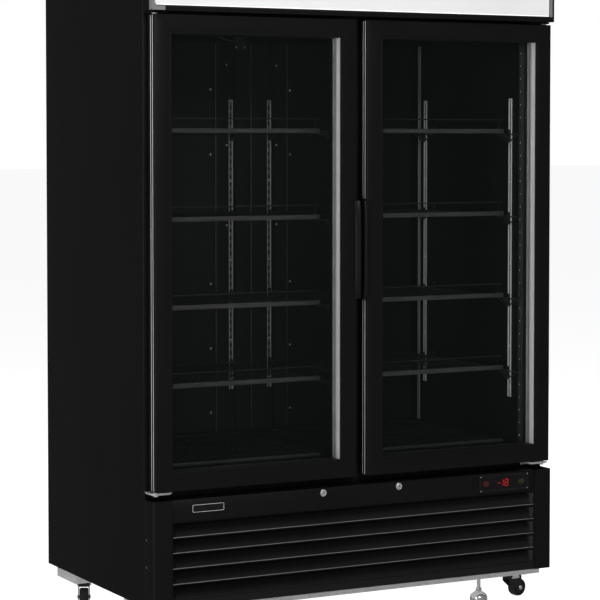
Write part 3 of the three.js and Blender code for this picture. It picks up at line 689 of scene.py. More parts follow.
# ---- Pieces ----------------------------------------------------------------------------------


class Piece:
    """One named mesh made of several surfaces, each with its own finish."""

    def __init__(self, name: str, body: str, slot: str) -> None:
        """Starts an empty piece that rides on a body and keeps the name of a material slot."""
        self.name, self.body, self.slot = name, body, slot
        self.surfaces: list[tuple[Surface, Finish]] = []

    def add(self, finish: Finish, *surfaces: Surface) -> "Piece":
        """Adds surfaces that share a finish."""
        self.surfaces += [(surface, finish) for surface in surfaces]
        return self

    def mesh(self) -> bpy.types.Mesh:
        """Puts every surface into one mesh, with a material for each finish.

        Returns:
            The mesh, smooth but for edges sharper than 32 degrees.
        """
        finishes = list(dict.fromkeys(finish for _, finish in self.surfaces))
        starts = np.cumsum([0] + [len(s.points) for s, _ in self.surfaces])
        faces, kinds = [], []
        for (surface, finish), start in zip(self.surfaces, starts):
            own = (surface.quads + start).tolist() + [(lid + start).tolist() for lid in surface.lids]
            faces += own
            kinds += [finishes.index(finish)] * len(own)
        mesh = bpy.data.meshes.new(self.name)
        points = np.concatenate([s.points for s, _ in self.surfaces]) * MM
        mesh.from_pydata(points.tolist(), [], faces)
        for finish in finishes:
            mesh.materials.append(material_of(finish))
        mesh.polygons.foreach_set("material_index", kinds)
        mesh.shade_smooth()
        mesh.set_sharp_from_angle(angle=CREASE)
        mesh.update()
        return mesh

    def done(self, *replaced: str, bevel: float = 0.0) -> bpy.types.Object:
        """Makes the object and ties it to the frame.

        Args:
            replaced: CAD nodes that this piece stands for.
            bevel: width in millimetres of a bevel on its sharp edges, if any.

        Returns:
            The finished object.
        """
        piece = bpy.data.objects.new(self.name, self.mesh())
        bpy.context.scene.collection.objects.link(piece)
        if bevel > 0:
            edge = piece.modifiers.new("soft_edges", "BEVEL")
            edge.width = bevel * MM
            edge.segments = 2
            edge.limit_method = "ANGLE"
            edge.angle_limit = BEVELLED
            edge.harden_normals = True
        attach(piece, self.body)
        if replaced:
            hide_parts(*replaced)
        LOG.info("%s: %d faces, rides on %s", self.name, len(piece.data.polygons), self.body)
        return piece


def dress(node: str, finish: Finish) -> None:
    """Gives a CAD node that is kept a new finish."""
    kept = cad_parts[node]
    kept.data.materials.clear()
    kept.data.materials.append(material_of(finish))
    LOG.info("%s: kept from the frame, %s", node, finish.name)


# ---- Studio ----------------------------------------------------------------------------------


@dataclass(frozen=True)
class Lamp:
    """One soft rectangular lamp that faces a target. Lengths are metres and the power is watts."""

    name: str
    place: Point
    target: Point
    size: tuple[float, float]
    watts: float

    def hang(self) -> None:
        """Hangs the lamp."""
        data = bpy.data.lights.new(self.name, "AREA")
        data.shape = "RECTANGLE"
        data.size, data.size_y = self.size
        data.energy = self.watts
        lamp = bpy.data.objects.new(self.name, data)
        lamp.location = self.place
        aim = Vector(self.target) - Vector(self.place)
        lamp.rotation_euler = aim.to_track_quat("-Z", "Y").to_euler()
        bpy.context.scene.collection.objects.link(lamp)


LAMPS = (
    Lamp("overhead", (-0.5, -1.2, 5.2), (0, 0.2, 0.5), (4.5, 3.5), 150),
    Lamp("front", (-1.3, -5.4, 3.4), (0, 0, 0.9), (1.8, 1.4), 85),
    Lamp("left_strip", (-5.2, -3.0, 1.5), (-0.7, -0.3, 1.1), (0.7, 3.2), 95),
    Lamp("right_back", (4.2, 3.6, 2.6), (0.6, 0, 1.0), (1.2, 2.6), 65),
)


@dataclass
class Studio:
    """The camera, the lamps, the floor and the pale surroundings."""

    eye: Point = (-3.2240, -6.0547, 1.4593)
    yaw: float = -28.056
    tilt: float = -2.52
    lens: float = 131.29
    rise: float = -0.11
    floor_half: float = 90.0
    floor_glow: float = 0.9
    dim: float = 0.07

    def camera(self) -> None:
        """Stands the camera at the viewing angle. Its places are metres and its angles degrees."""
        data = bpy.data.cameras.new("camera")
        data.sensor_width = 36.0
        data.lens = self.lens
        data.shift_y = self.rise
        data.clip_end = 200.0
        camera = bpy.data.objects.new("camera", data)
        camera.location = self.eye
        camera.rotation_euler = (math.radians(90 + self.tilt), 0, math.radians(self.yaw))
        bpy.context.scene.collection.objects.link(camera)
        bpy.context.scene.camera = camera

    def surroundings(self) -> None:
        """Makes the background white for the eye and dim for reflections."""
        white = (1.0, 1.0, 1.0, 1.0)
        world = bpy.data.worlds.new("surroundings")
        world.use_nodes = True
        bpy.context.scene.world = world
        tree = world.node_tree
        seen = tree.nodes["Background"]
        seen.inputs["Color"].default_value = white
        dim = tree.nodes.new("ShaderNodeBackground")
        dim.inputs["Color"].default_value = white
        dim.inputs["Strength"].default_value = self.dim
        mix = tree.nodes.new("ShaderNodeMixShader")
        path = tree.nodes.new("ShaderNodeLightPath")
        tree.links.new(path.outputs["Is Camera Ray"], mix.inputs["Fac"])
        tree.links.new(dim.outputs["Background"], mix.inputs[1])
        tree.links.new(seen.outputs["Background"], mix.inputs[2])
        tree.links.new(mix.outputs["Shader"], tree.nodes["World Output"].inputs["Surface"])

    def floor(self) -> None:
        """Lays the pale floor, a flat square under the object."""
        corners = [(-1, -1), (1, -1), (1, 1), (-1, 1)]
        mesh = bpy.data.meshes.new("floor")
        points = [(x * self.floor_half, y * self.floor_half, 0) for x, y in corners]
        mesh.from_pydata(points, [], [(0, 1, 2, 3)])
        recipe = Recipe("floor_paper")
        recipe.constants(Roughness=0.9, Specular_IOR_Level=0.1)
        recipe.constants(Emission_Color=(1.0, 1.0, 1.0), Emission_Strength=self.floor_glow)
        recipe.tones(recipe.pattern("Noise", 2.0, Detail=3.0), (0.6, 0.6, 0.6), (0.63, 0.63, 0.63))
        mesh.materials.append(recipe.material)
        floor = bpy.data.objects.new("floor", mesh)
        floor.visible_glossy = False
        bpy.context.scene.collection.objects.link(floor)

    def build(self) -> None:
        """Sets up the whole studio."""
        bpy.context.scene.view_settings.view_transform = "Standard"
        self.camera()
        for lamp in LAMPS:
            lamp.hang()
        self.surroundings()
        self.floor()


# ---- Casing and canopy -----------------------------------------------------------------------

FRONT = Extent.of("left_side_panel").low[1]
BACK = Extent.of("left_side_panel").high[1]
CASE = Extent.of("insulation_body")
PANEL = Extent.of("left_side_panel")
DOOR = Extent.of("left_door_frame")
PLINTH = Extent.of("front_grille")


@dataclass
class Casing:
    """Folded side panels, rear sheet, foam and the black frame round the storage mouth."""

    sheet: float = 2.0
    lip: float = 24.0
    bend: float = 3.2
    screw_pitch: float = 290.0
    mouth_drop: float = 14.0
    rib_x: tuple[float, ...] = (-330.0, 0.0, 330.0)
    rib_rise: float = 2.2
    rib_ends: tuple[float, float] = (560.0, 1900.0)
    grille_screw_x: tuple[float, ...] = (-560.0, -190.0, 190.0, 560.0)
    grille_screw_z: tuple[float, ...] = (132.0, 410.0)

    def side_panel(self, name: str, side: float) -> None:
        """Folds one side panel: a plan outline with rounded bends, carried up its height.

        Args:
            name: left or right.
            side: -1 or +1.
        """
        edge, s, inner = PANEL.low[0], self.sheet, self.bend - self.sheet
        plan = [
            (edge, FRONT), (edge + self.lip, FRONT), (edge + self.lip, FRONT + s), (edge + s, FRONT + s),
            (edge + s, BACK - s), (edge + self.lip, BACK - s), (edge + self.lip, BACK), (edge, BACK),
        ]
        radii = [self.bend, 0.4, 0.4, inner, inner, 0.4, 0.4, self.bend]
        skin = prism(rounded(plan, radii, 5), PANEL.low[2], PANEL.high[2], Axis.Z).mirrored(side)
        Piece(f"{name}_side_skin", "cabinet", "black_paint").add(BODY_PAINT, skin).done(f"{name}_side_panel")

    def mouth(self) -> None:
        """Covers the foam's front with four black strips round the storage mouth."""
        out, inner = -PANEL.low[0] - self.lip - 0.4, Extent.of("inner_liner").high[0] - 1.6
        low, high = PLINTH.high[2] - self.mouth_drop, CASE.high[2]
        post = Extent.of("center_mullion")
        bottom, top = post.low[2] - 0.5, post.high[2] + 0.5
        y0, y1 = FRONT + 0.2, FRONT + self.sheet
        strips = [
            block((-out, y0, low), (-inner, y1, high), 0.6), block((inner, y0, low), (out, y1, high), 0.6),
            block((-inner, y0, low), (inner, y1, bottom), 0.6),
            block((-inner, y0, top), (inner, y1, high), 0.6),
        ]
        Piece("mouth_frame", "cabinet", "black_plastic").add(TRIM_BLACK, *strips).done()

    def rear(self) -> None:
        """Adds the pressed ribs and the rows of screws on the rear sheet and round its grille."""
        y = BACK - self.sheet
        top = y + self.rib_rise
        low, high = self.rib_ends
        ribs = [
            prism(rounded([(x - 20, y), (x - 12, top), (x + 12, top), (x + 20, y)], 2.0), low, high, Axis.Z)
            for x in self.rib_x
        ]
        Piece("rear_ribs", "cabinet", "black_paint").add(BODY_PAINT, *ribs).done(bevel=0.8)
        edge = -PANEL.low[0] - 12
        heads = [
            screw_head((x, BACK, z), 4.0, 2.0, Axis.Y)
            for x in (-edge, edge) for z in np.arange(150, 2000, self.screw_pitch)
        ]
        heads += [
            screw_head((x, y, z), 3.6, 1.8, Axis.Y) for x in self.grille_screw_x for z in self.grille_screw_z
        ]
        Piece("rear_screws", "cabinet", "zinc_plate").add(ZINC, *heads).done()

    def build(self) -> None:
        """Builds the casing."""
        for name, side in SIDES:
            self.side_panel(name, side)
        self.mouth()
        self.rear()
        dress("rear_and_roof_panel", BODY_PAINT)
        dress("insulation_body", FOAM)
        dress("rear_grille", STEEL)


@dataclass
class Canopy:
    """Header box with a lit white panel, grey end caps and a black rail under it."""

    wall: float = 3.0
    corner: float = 8.0
    cap_width: float = 14.0
    cap_arm: float = 42.0

    def build(self) -> None:
        """Builds the header's box, panel, trims and lamp."""
        box, panel = Extent.of("canopy_housing"), Extent.of("canopy_panel")
        (x0, y0, z0), (x1, y1, z1) = box.low, box.high
        (u0, _, v0), (u1, _, v1) = panel.low, panel.high
        outer = rectangle(x0, z0, x1, z1, 3.0, 6)
        window = rectangle(u0 - 0.6, v0 - 0.6, u1 + 0.6, v1 + 0.6, self.corner, 6)
        shell = framed(outer, window, [
            (0, y1), (0, y0 + 2), (0.06, y0 + 0.6), (0.2, y0), (0.94, y0), (1, y0 + 0.6),
            (1, y0 + 8), (0.28, y0 + 8), (0.28, y1),
        ])
        Piece("canopy_box", "cabinet", "black_paint").add(BODY_PAINT, shell).done("canopy_housing")
        sheet = prism(rectangle(u0, v0, u1, v1, self.corner - 0.6, 6), y0 + 1.0, y0 + 5, Axis.Y)
        lip = prism(rectangle(u0 + 5, v0 + 0.4, u1 - 1, v0 + 3.2, 1.2), y0 + 0.3, y0 + 1.2, Axis.Y)
        face = Piece("canopy_light_panel", "cabinet", "white_acrylic").add(OPAL, sheet).add(OPAL_EDGE, lip)
        face.done("canopy_panel", bevel=0.5)

        cap = [
            (x0, z0 + 2), (x0 + self.cap_arm, z0 + 2), (x0 + self.cap_arm, v0 - 2), (u0 - 1 + 5, v0 - 2),
            (u0 - 1, v0 + 5), (u0 - 1, z1), (x0, z1),
        ]
        left = prism(rounded(cap, [2, 2, 2, 4, 4, 0.5, 0.5]), y0 - 1.4, y0 - 0.05, Axis.Y)
        wrap = block((x0 - 1.2, y0 - 1.4, z0 + 2), (x0 - 0.05, y0 + 16, z1), 0.5)
        right = block((u1 + 1, y0 - 1.2, v0 - 1), (u1 + 11, y0 - 0.05, z1 - 2), 0.5)
        Piece("canopy_caps", "cabinet", "black_plastic").add(GREY_CAP, left, wrap, right).done(bevel=0.3)

        profile = rounded([
            (y0 - 1.2, z0 + 1), (y0 - 1.2, z0 + 4), (y0 - 0.5, z0 + 4.6), (y0 - 0.5, z0 + 5.4),
            (y0 - 1.2, z0 + 6), (y0 - 1.2, v0 - 4), (y0 - 0.6, v0 - 3.4), (y0 - 0.6, v0 - 2.6),
            (y0 - 1.2, v0 - 2), (y0, v0 - 1), (y0 + 0.2, z0 + 1),
        ], 0.2, 2)
        rail = prism(profile, x0 + self.cap_arm + 0.6, u1 + 0.4, Axis.X)
        Piece("canopy_rail", "cabinet", "door_black").add(DOOR_PAINT, rail).done()

        middle = (v0 + v1) / 2
        batten = block((u0 + 60, y0 + 30, middle - 14), (u1 - 60, y0 + 50, middle + 14), 2.0)
        lamp = tube([(u0 + 70, y0 + 22, middle), (0, y0 + 22, middle), (u1 - 70, y0 + 22, middle)], 7.5, 16)
        Piece("canopy_lamp", "cabinet", "white_acrylic").add(TRIM_BLACK, batten).add(OPAL_EDGE, lamp).done()


# ---- Doors and hinges ------------------------------------------------------------------------


@dataclass
class Door:
    """A mitred frame with double glazing, a magnetic seal and a hooked grip."""

    name: str
    side: float
    stile: float = 55.0
    bead: float = 8.0
    joint: float = 0.4
    trim_near: float = 12.0
    groove_near: float = 16.5
    groove_far: float = 23.5
    groove_depth: float = 13.0
    spacer: float = 24.0
    seal_wide: float = 20.0
    grip_rings: int = 25

    @property
    def low(self) -> tuple[float, float]:
        """X and z of the frame's lower left corner, as the left door has it."""
        return DOOR.low[0], DOOR.low[2]

    @property
    def high(self) -> tuple[float, float]:
        """X and z of its upper right corner."""
        return DOOR.high[0], DOOR.high[2]

    def rim(self, inset: float) -> tuple[tuple[float, float], tuple[float, float]]:
        """The frame's rectangle, drawn in on every side."""
        return (self.low[0] + inset, self.low[1] + inset), (self.high[0] - inset, self.high[1] - inset)

    def piece(self, name: str, slot: str) -> Piece:
        """Starts a piece of this door, which rides on the door."""
        return Piece(f"{self.name}_door_{name}", f"{self.name}_door", slot)

    def frame_bars(self) -> None:
        """Builds the four bars, with the groove that the lock's cam and the pins run in."""
        face, back = DOOR.low[1], DOOR.high[1]
        near, far, deep = face + self.groove_near, face + self.groove_far, self.groove_depth
        lip = self.stile
        profile = rounded([
            (0, face), (0, near), (deep, near), (deep, far), (0, far), (0, back), (lip - 2.5, back),
            (lip - 2.5, face + 7.8), (lip - self.bead + 0.2, face + 7.8), (lip - self.bead + 0.2, face + 3.1),
            (lip, face + 3.1), (lip, face), (lip - self.bead + 0.5, face), (lip - self.bead, face + 0.9),
            (lip - self.bead - 0.5, face),
        ], [2.2, 0.3, 0.3, 0.3, 0.3, 2, 1, 0.2, 0.2, 0.2, 0.8, 2.0, 0.2, 0.2, 0.2], 3)
        bars = [bar.mirrored(self.side) for bar in mitred_bars(profile, self.low, self.high, self.joint)]
        self.piece("bars", "door_black").add(DOOR_PAINT, *bars).done(f"{self.name}_door_frame", bevel=0.3)

    def edge_trim(self) -> None:
        """Inlays two silver lines beside the groove of each upright edge, leaving out the grip."""
        face = DOOR.low[1]
        grip = Extent.of("left_door_grip")
        stretches = {
            self.low[0]: [(self.low[1] + 3, self.high[1] - 3)],
            self.high[0]: [(self.low[1] + 3, grip.low[2] - 6), (grip.high[2] + 6, self.high[1] - 3)],
        }
        lines = [
            block((x - 0.45, face + y, z0), (x + 0.45, face + y + 2.6, z1), 0.35).mirrored(self.side)
            for x, spans in stretches.items() for z0, z1 in spans
            for y in (self.trim_near, self.groove_far + 1.4)
        ]
        self.piece("edge_trim", "door_black").add(SILVER, *lines).done()

    def lined(self, name: str, bars: list[Surface], upright: Finish) -> None:
        """Lines the inside of the frame, with bare uprights and black bars above and below.

        Args:
            name: the piece's name.
            bars: bottom, right, top and left, as the left door has them.
            upright: finish of the uprights.
        """
        bottom, right, top, left = (bar.mirrored(self.side) for bar in bars)
        self.piece(name, "door_black").add(TRIM_BLACK, bottom, top).add(upright, right, left).done()

    def glazing(self) -> None:
        """Adds the inner pane, the silver spacer, the ribbed reveal and the black inner bead."""
        face, back = DOOR.low[1], DOOR.high[1]
        y0 = face + 7.6
        y1 = y0 + self.spacer
        start = self.stile - 2.4
        low, high = self.rim(start)
        spacer = mitred_bars([
            (0, y0), (2.4, y0), (2.9, y0 + 1), (2.9, y0 + 11), (2.4, y0 + 11.6), (2.4, y0 + 12.4),
            (2.9, y0 + 13), (2.9, y1 - 1), (2.4, y1), (0, y1),
        ], low, high, 0.1)
        self.lined("spacer", spacer, SILVER)
        (u0, v0), (u1, v1) = self.rim(start + 0.3)
        pane = prism(rectangle(u0, v0, u1, v1), y1 + 0.3, y1 + 4.3, Axis.Y)
        self.piece("inner_pane", "door_glass").add(GLASS, pane.mirrored(self.side)).done()
        ribs = np.linspace(y1 + 4.6, back + 0.4, 9)
        teeth = [(2.2 + 1.1 * (k % 2), y) for k, y in enumerate(ribs)]
        reveal = mitred_bars([(0, ribs[0]), *teeth, (0, ribs[-1])], low, high, 0.1)
        self.lined("inner_reveal", reveal, REVEAL_GREY)

    def seal(self) -> None:
        """Builds the bellows seal: a hollow-looking fold between a foot and a magnet strip."""
        box = Extent.of("left_door_seal")
        y0, y1 = box.low[1], box.high[1]
        wide = self.seal_wide
        profile = rounded([
            (1, y0), (wide - 1, y0), (wide - 1, y0 + 2), (wide - 5, y0 + 3.2), (wide - 1.5, y0 + 5.2),
            (wide, y1 - 3.4), (wide, y1), (0, y1), (0, y1 - 3.4), (1.5, y0 + 5.2), (5, y0 + 3.2), (1, y0 + 2),
        ], 0.8, 3)
        ring = around_frame(profile, (box.low[0], box.low[2]), (box.high[0], box.high[2]), 3.0)
        self.piece("gasket", "seal_rubber").add(SEAL, ring.mirrored(self.side)).done(f"{self.name}_door_seal")

    def grip(self) -> None:
        """Bends the grip: a hooked plan whose front wave bulges towards its middle height.

        The plan at the height z is the strip's outline with its front drawn back by the square of
        the distance from the middle, so that the grip is a shallow bow seen from the side.
        """
        box = Extent.of("left_door_grip")
        x, y = self.high[0], DOOR.low[1]
        plan = rounded([
            (x - 7, y - 0.2), (x - 7, y - 3), (x, y - 8), (x + 6, box.low[1]), (x + 10.5, box.low[1] + 1.5),
            (x + 13, box.low[1] + 8), (x + 13, y + 10), (x + 11.5, y + 14), (x + 9, y + 14),
            (x + 9.6, y + 3), (x + 4, y - 2.5), (x + 3.4, y + 29), (x + 0.4, y + 29), (x + 0.4, y - 0.2),
        ], [1, 1.5, 3, 3, 3, 3, 1.5, 1, 1, 3, 1, 1, 0.3, 0.3], 4)
        t = np.linspace(-1, 1, self.grip_rings)[:, None]
        ease = 1 - 0.45 * np.abs(t) ** 6
        front = np.minimum(plan[None, :, 1] - y, 0)
        rings = np.empty((self.grip_rings, len(plan), 3))
        rings[..., 0] = plan[None, :, 0]
        rings[..., 1] = np.where(front < 0, y + front * ease, plan[None, :, 1])
        rings[..., 2] = box.low[2] + (t + 1) / 2 * (box.high[2] - box.low[2])
        self.piece("pull", "door_black").add(DOOR_PAINT, loft(rings).mirrored(self.side)).done(
            f"{self.name}_door_grip", bevel=0.5)

    def build(self) -> None:
        """Builds the door."""
        self.frame_bars()
        self.edge_trim()
        self.glazing()
        self.seal()
        self.grip()
        dress(f"{self.name}_door_glass", GLASS)


@dataclass
class Hinges:
    """Four pressed brackets with round-ended plates, bosses and screws."""

    boss: float = 9.0

    def bracket(self, name: str, side: float, end: str, up: float) -> None:
        """Builds one bracket.

        Args:
            name: left or right.
            side: -1 or +1.
            end: lower or upper.
            up: +1 where the pin points up, -1 where it points down.
        """
        box = Extent.of(f"left_{end}_hinge")
        x0, x1 = box.low[0], box.high[0]
        y0 = box.low[1] + 3.0
        pivot = (x0 + 19, y0 + 11, 0)
        edge = DOOR.low[2] if up > 0 else DOOR.high[2]
        plate, far = edge - up * 4, edge - up * 8
        outline = rounded([(x0, FRONT - 0.4), (x0, y0), (x1 - 8, y0), (x1, FRONT - 12), (x1, FRONT - 0.4)],
                          [1, 10, 14, 6, 1], 6)
        flat = prism(outline, plate, far, Axis.Z)
        second = prism(outline * (0.9, 1.0) + (x0 * 0.1 + 4, 0), far - up * 0.3, far - up * 2.2, Axis.Z)
        reach = box.high[2] if up < 0 else box.low[2]
        leg = block((x0 + 23, FRONT - 3.3, far), (x1, FRONT - 0.4, reach), 0.8)
        pin = lathe([(4.2, edge + up * 12), (4.9, edge + up * 11), (4.9, plate)], pivot)
        washer = lathe(
            [(self.boss, plate), (self.boss, plate + up * 1.4), (self.boss - 0.8, edge - up * 1.2)], pivot,
        )
        nut = lathe([(7.5, far - up * 2.2), (7.5, far - up * 6), (6.6, far - up * 7)], pivot, around=6)
        middle = (far + reach) / 2
        heads = [screw_head((x, FRONT - 3.3, middle), 3.4, -1.8, Axis.Y) for x in (x0 + 38, x0 + 62)]
        plates, fixings = (flat, second, leg), (pin, washer, nut, *heads)
        coat, slot = (ZINC, "zinc_plate") if up > 0 else (BODY_PAINT, "black_paint")
        bracket = Piece(f"{name}_{end}_bracket", "cabinet", slot)
        bracket.add(coat, *[p.mirrored(side) for p in plates])
        bracket.add(ZINC, *[p.mirrored(side) for p in fixings]).done(f"{name}_{end}_hinge", bevel=0.4)

    def build(self) -> None:
        """Builds all four brackets."""
        for name, side in SIDES:
            self.bracket(name, side, "lower", 1.0)
            self.bracket(name, side, "upper", -1.0)


@dataclass
class Doors:
    """Both doors."""

    def build(self) -> None:
        """Builds the left door and its mirror image."""
        for name, side in SIDES:
            Door(name, side).build()


# ---- Inside ----------------------------------------------------------------------------------

MOUTH = Extent.of("center_mullion")
WALL = Extent.of("inner_liner").high[0] - 2.0
DUCT = Extent.of("rear_duct_panel")
STANDARD = Extent.of("left_front_standard")
SHELF_NODES = [f"{name}_shelf_{level}" for name, _ in SIDES for level in range(1, 5)]


@dataclass
class Standard:
    """A slotted strip for shelf clips: two folded flanges and a ladder of rungs."""

    name: str
    centre: Point
    facing: Axis
    out: float
    wide: float = 16.0
    deep: float = 4.0
    pitch: float = 25.0
    rung: float = 13.0

    def turned(self, u0: float, u1: float, d0: float, d1: float, z0: float, z1: float) -> Surface:
        """A block of the strip: u runs across it and d stands off the wall that it is fixed to."""
        x, y, _ = self.centre
        if self.facing is Axis.X:
            return block((x + self.out * d0, y + u0, z0), (x + self.out * d1, y + u1, z1), 0.5, 1)
        return block((x + u0, y + self.out * d0, z0), (x + u1, y + self.out * d1, z1), 0.5, 1)

    def build(self, replaced: Sequence[str] = ()) -> None:
        """Builds the strip.

        Args:
            replaced: the CAD node that it stands for, if there is one.
        """
        low, high, half = STANDARD.low[2], STANDARD.high[2], self.wide / 2
        flanges = [self.turned(u, u + 3.4, 0, self.deep, low, high) for u in (-half, half - 3.4)]
        rungs = [
            self.turned(-half + 3, half - 3, 0, 1.6, z, z + self.rung)
            for z in np.arange(low, high - self.rung, self.pitch)
        ]
        back = self.turned(-half + 3, half - 3, 0, 0.5, low, high)
        x, y, _ = self.centre
        heads = []
        for z in np.arange(low + 32, high, 130.0):
            seat = (x + self.out * 1.6, y, z) if self.facing is Axis.X else (x, y + self.out * 1.6, z)
            heads.append(screw_head(seat, 3.6, self.out * 2.0, self.facing))
        strip = Piece(self.name, "cabinet", "zinc_plate")
        strip.add(SILVER, *flanges).add(DULL_SILVER, *rungs).add(ZINC, *heads).add(TRIM_BLACK, back)
        strip.done(*replaced)


@dataclass
class Interior:
    """Mullion, duct cover, lamps, standards and clips of the storage space."""

    raised: float = 131.0
    lamp_wide: float = 27.0
    lamp_proud: float = 3.0
    spot_pitch: float = 40.0
    rear_standard_x: float = 70.0
    slot_start: float = 190.0
    slot_pitch: float = 84.0
    slot_columns: int = 5
    slot_levels: tuple[float, ...] = (1109.0, 1430.0)
    corner_highlight_lines: tuple[float, ...] = (34.0, 44.0)
    bracket_x: tuple[float, float] = (-76.0, -34.0)

    def mullion(self) -> None:
        """Builds the post between the doors, with its steel face for the seals."""
        (x0, y0, z0), (x1, y1, z1) = MOUTH.low, MOUTH.high
        post = block((x0, y0 + 0.8, z0), (x1, y1, z1), 3.0, 3)
        face = block((x0 + 5, y0, z0 + 0.5), (x1 - 5, y0 + 1.2, z1 - 0.5), 0.5)
        seam = block((x0 + 18, y1 - 1, z0 + 4), (x1 - 18, y1 + 1.2, z1 - 4), 1.0)
        Piece("mullion_post", "cabinet", "liner_black").add(LINER, post, seam).add(DUCT_PAINT, face).done(
            "center_mullion")

    def lamps(self) -> None:
        """Builds the four upright lamp strips that face into the two bays."""
        y0 = MOUTH.low[1] + 4
        z0, z1 = MOUTH.low[2] + 14, MOUTH.high[2] - 14
        for name, wall, out in (
            ("left_wall", -WALL, 1.0), ("left_middle", MOUTH.low[0], -1.0),
            ("right_middle", MOUTH.high[0], 1.0), ("right_wall", WALL, -1.0),
        ):
            body = block((wall, y0, z0), (wall + out * self.lamp_proud, y0 + self.lamp_wide, z1), 1.2)
            crest = wall + out * (self.lamp_proud + 1.6)
            ridge = block((wall, y0 + 8, z0 + 4), (crest, y0 + 19, z1 - 4), 1.2)
            tip = wall + out * (self.lamp_proud + 1.5)
            spots = [
                block((tip, y0 + 12, z), (tip + out * 0.7, y0 + 15, z + 3), 0.3, 1)
                for z in np.arange(z0 + 20, z1 - 10, self.spot_pitch)
            ]
            lamp = Piece(f"{name}_lamp", "cabinet", "black_plastic")
            lamp.add(LAMP_GREY, body, ridge).add(LED, *spots).done()

    def duct(self) -> None:
        """Folds the rear panel: a raised middle with a seam, and a channel for each standard.

        Each slot has a small hood over it. Silver lines on the middle's edges, by its seam and on the side
        walls are painted highlights.
        """
        y, back = DUCT.low[1] + 8, DUCT.high[1]
        raised, edge, deep = DUCT.low[1], DUCT.high[0], DUCT.high[1] - 2
        x, half = self.rear_standard_x, 13.0
        right = [
            (1.5, raised + 4), (1.5, raised), (x - half, raised), (x - half, deep), (x + half, deep),
            (x + half, raised), (self.raised, raised), (self.raised, y), (edge, y), (edge, back),
        ]
        plan = rounded(right + [(-u, v) for u, v in reversed(right)], 0.9, 3)
        z0, z1 = DUCT.low[2], DUCT.high[2]
        skin = prism(plan, z0, z1, Axis.Z)
        rows = [
            (s * (self.slot_start + k * self.slot_pitch), z)
            for s in (-1, 1) for k in range(self.slot_columns) for z in self.slot_levels
        ]
        # Each slot is a near-black block on the panel face: painted shade for the opening.
        slots = [block((u - 11, y - 0.3, z - 2.5), (u + 11, y + 1, z + 2.5), 0.2, 1) for u, z in rows]
        hoods = [block((u - 14, y - 1.6, z + 3), (u + 14, y + 0.4, z + 5), 0.6, 1) for u, z in rows]
        panel = Piece("duct_cover", "cabinet", "liner_black").add(DUCT_PAINT, skin, *hoods).add(SLOT_SHADE, *slots)
        panel.done("rear_duct_panel")
        # Dull silver strips on the raised middle's edges and by its seam: painted highlights.
        edges = [
            block((u - 0.9, raised - 0.7, z0 + 2), (u + 0.9, raised + 1, z1 - 2), 0.5)
            for u in (-self.raised + 0.9, -2.4, self.raised - 0.9)
        ]
        # Silver strips on the side walls by the rear corners: painted highlights.
        corners = [
            block((s * (WALL - 1.4), y - u - 3.2, z0), (s * (WALL + 0.2), y - u, z1), 0.5)
            for s in (-1, 1) for u in self.corner_highlight_lines
        ]
        heads = [
            screw_head((s * (self.raised + 14), y, z), 4.0, -2.2, Axis.Y)
            for s in (-1, 1) for z in np.arange(z0 + 60, z1, 210.0)
        ]
        heads += [
            screw_head((s * (x + 21), raised, z), 3.2, -2.0, Axis.Y)
            for s in (-1, 1) for z in np.arange(z0 + 150, z1, 260.0)
        ]
        Piece("duct_highlights_and_screws", "cabinet", "zinc_plate").add(DULL_SILVER, *edges).add(
            SILVER, *corners).add(ZINC, *heads).done()

    def bracket(self) -> None:
        """Builds the thermometer bracket under the ceiling, near the rear of the left bay."""
        tray = Extent.of("evaporator_cover")
        z, y = tray.low[2], tray.high[1] - 26
        x0, x1 = self.bracket_x
        plate = block((x0, y, z - 40), (x1, y + 3, z - 0.3), 1.0)
        flange = block((x0, y, z - 3), (x1, y + 22, z - 0.3), 0.8)
        heads = [screw_head((x, y, z - 34), 3.0, -2.0, Axis.Y) for x in (x0 + 6, x1 - 6)]
        way = [(x0, y + 6, z - 16), (x0 - 34, y - 6, z - 10), (x0 - 74, y - 22, z - 3)]
        probe = tube(rounded(way, [0, 40, 0], 6, closed=False), 1.8, 10)
        Piece("probe_bracket", "cabinet", "zinc_plate").add(WIRE, plate, flange).add(ZINC, *heads).add(
            RAIL, probe).done()

    @staticmethod
    def clip(
        root: float, tip: float, nose: float, top: float, hook: float = 12.0, drop: float = 26.0,
    ) -> Array:
        """The outline of a clip, seen along the shelf's rim.

        Args:
            root: where the clip meets its standard.
            tip: front of the hook.
            nose: end of the arm that carries the rim.
            top: level of the arm.
            hook: height of the hook over the arm.
            drop: how far the sloping brace reaches down.

        Returns:
            The rounded outline.
        """
        corners = [
            (root, top + hook), (tip, top + hook), (tip, top), (nose, top), (nose, top - 5),
            (root, top - drop),
        ]
        return rounded(corners, [1, 1, 1, 1.5, 2, 2], 3)

    def wall_clip(self, side: float, y: float, top: float) -> list[Surface]:
        """Builds the clip, the brace and the hooked arm at one of a side wall's standards.

        Args:
            side: -1 or +1.
            y: the standard's middle.
            top: level that carries the shelf.

        Returns:
            The three surfaces.
        """
        wall = WALL - 0.3
        outline = self.clip(wall - 4.2, wall - 7.5, wall - 30, top)
        x, bend = side * (wall - 10.4), top - 3.0
        brace = [(x, y + 58, bend), (x, y, top - 28), (x, y - 58, bend)]
        arm = [(x, y + 60, bend), (x, y - 62, bend), (x, y - 72, top + 6), (x, y - 73, top + 26)]
        return [prism(outline * (side, 1.0), y - 5.5, y + 5.5, Axis.Y)] + [
            tube(rounded(line, [0, *radii, 0], 5, closed=False), 2.3)
            for line, radii in ((brace, [14]), (arm, [14, 14]))
        ]

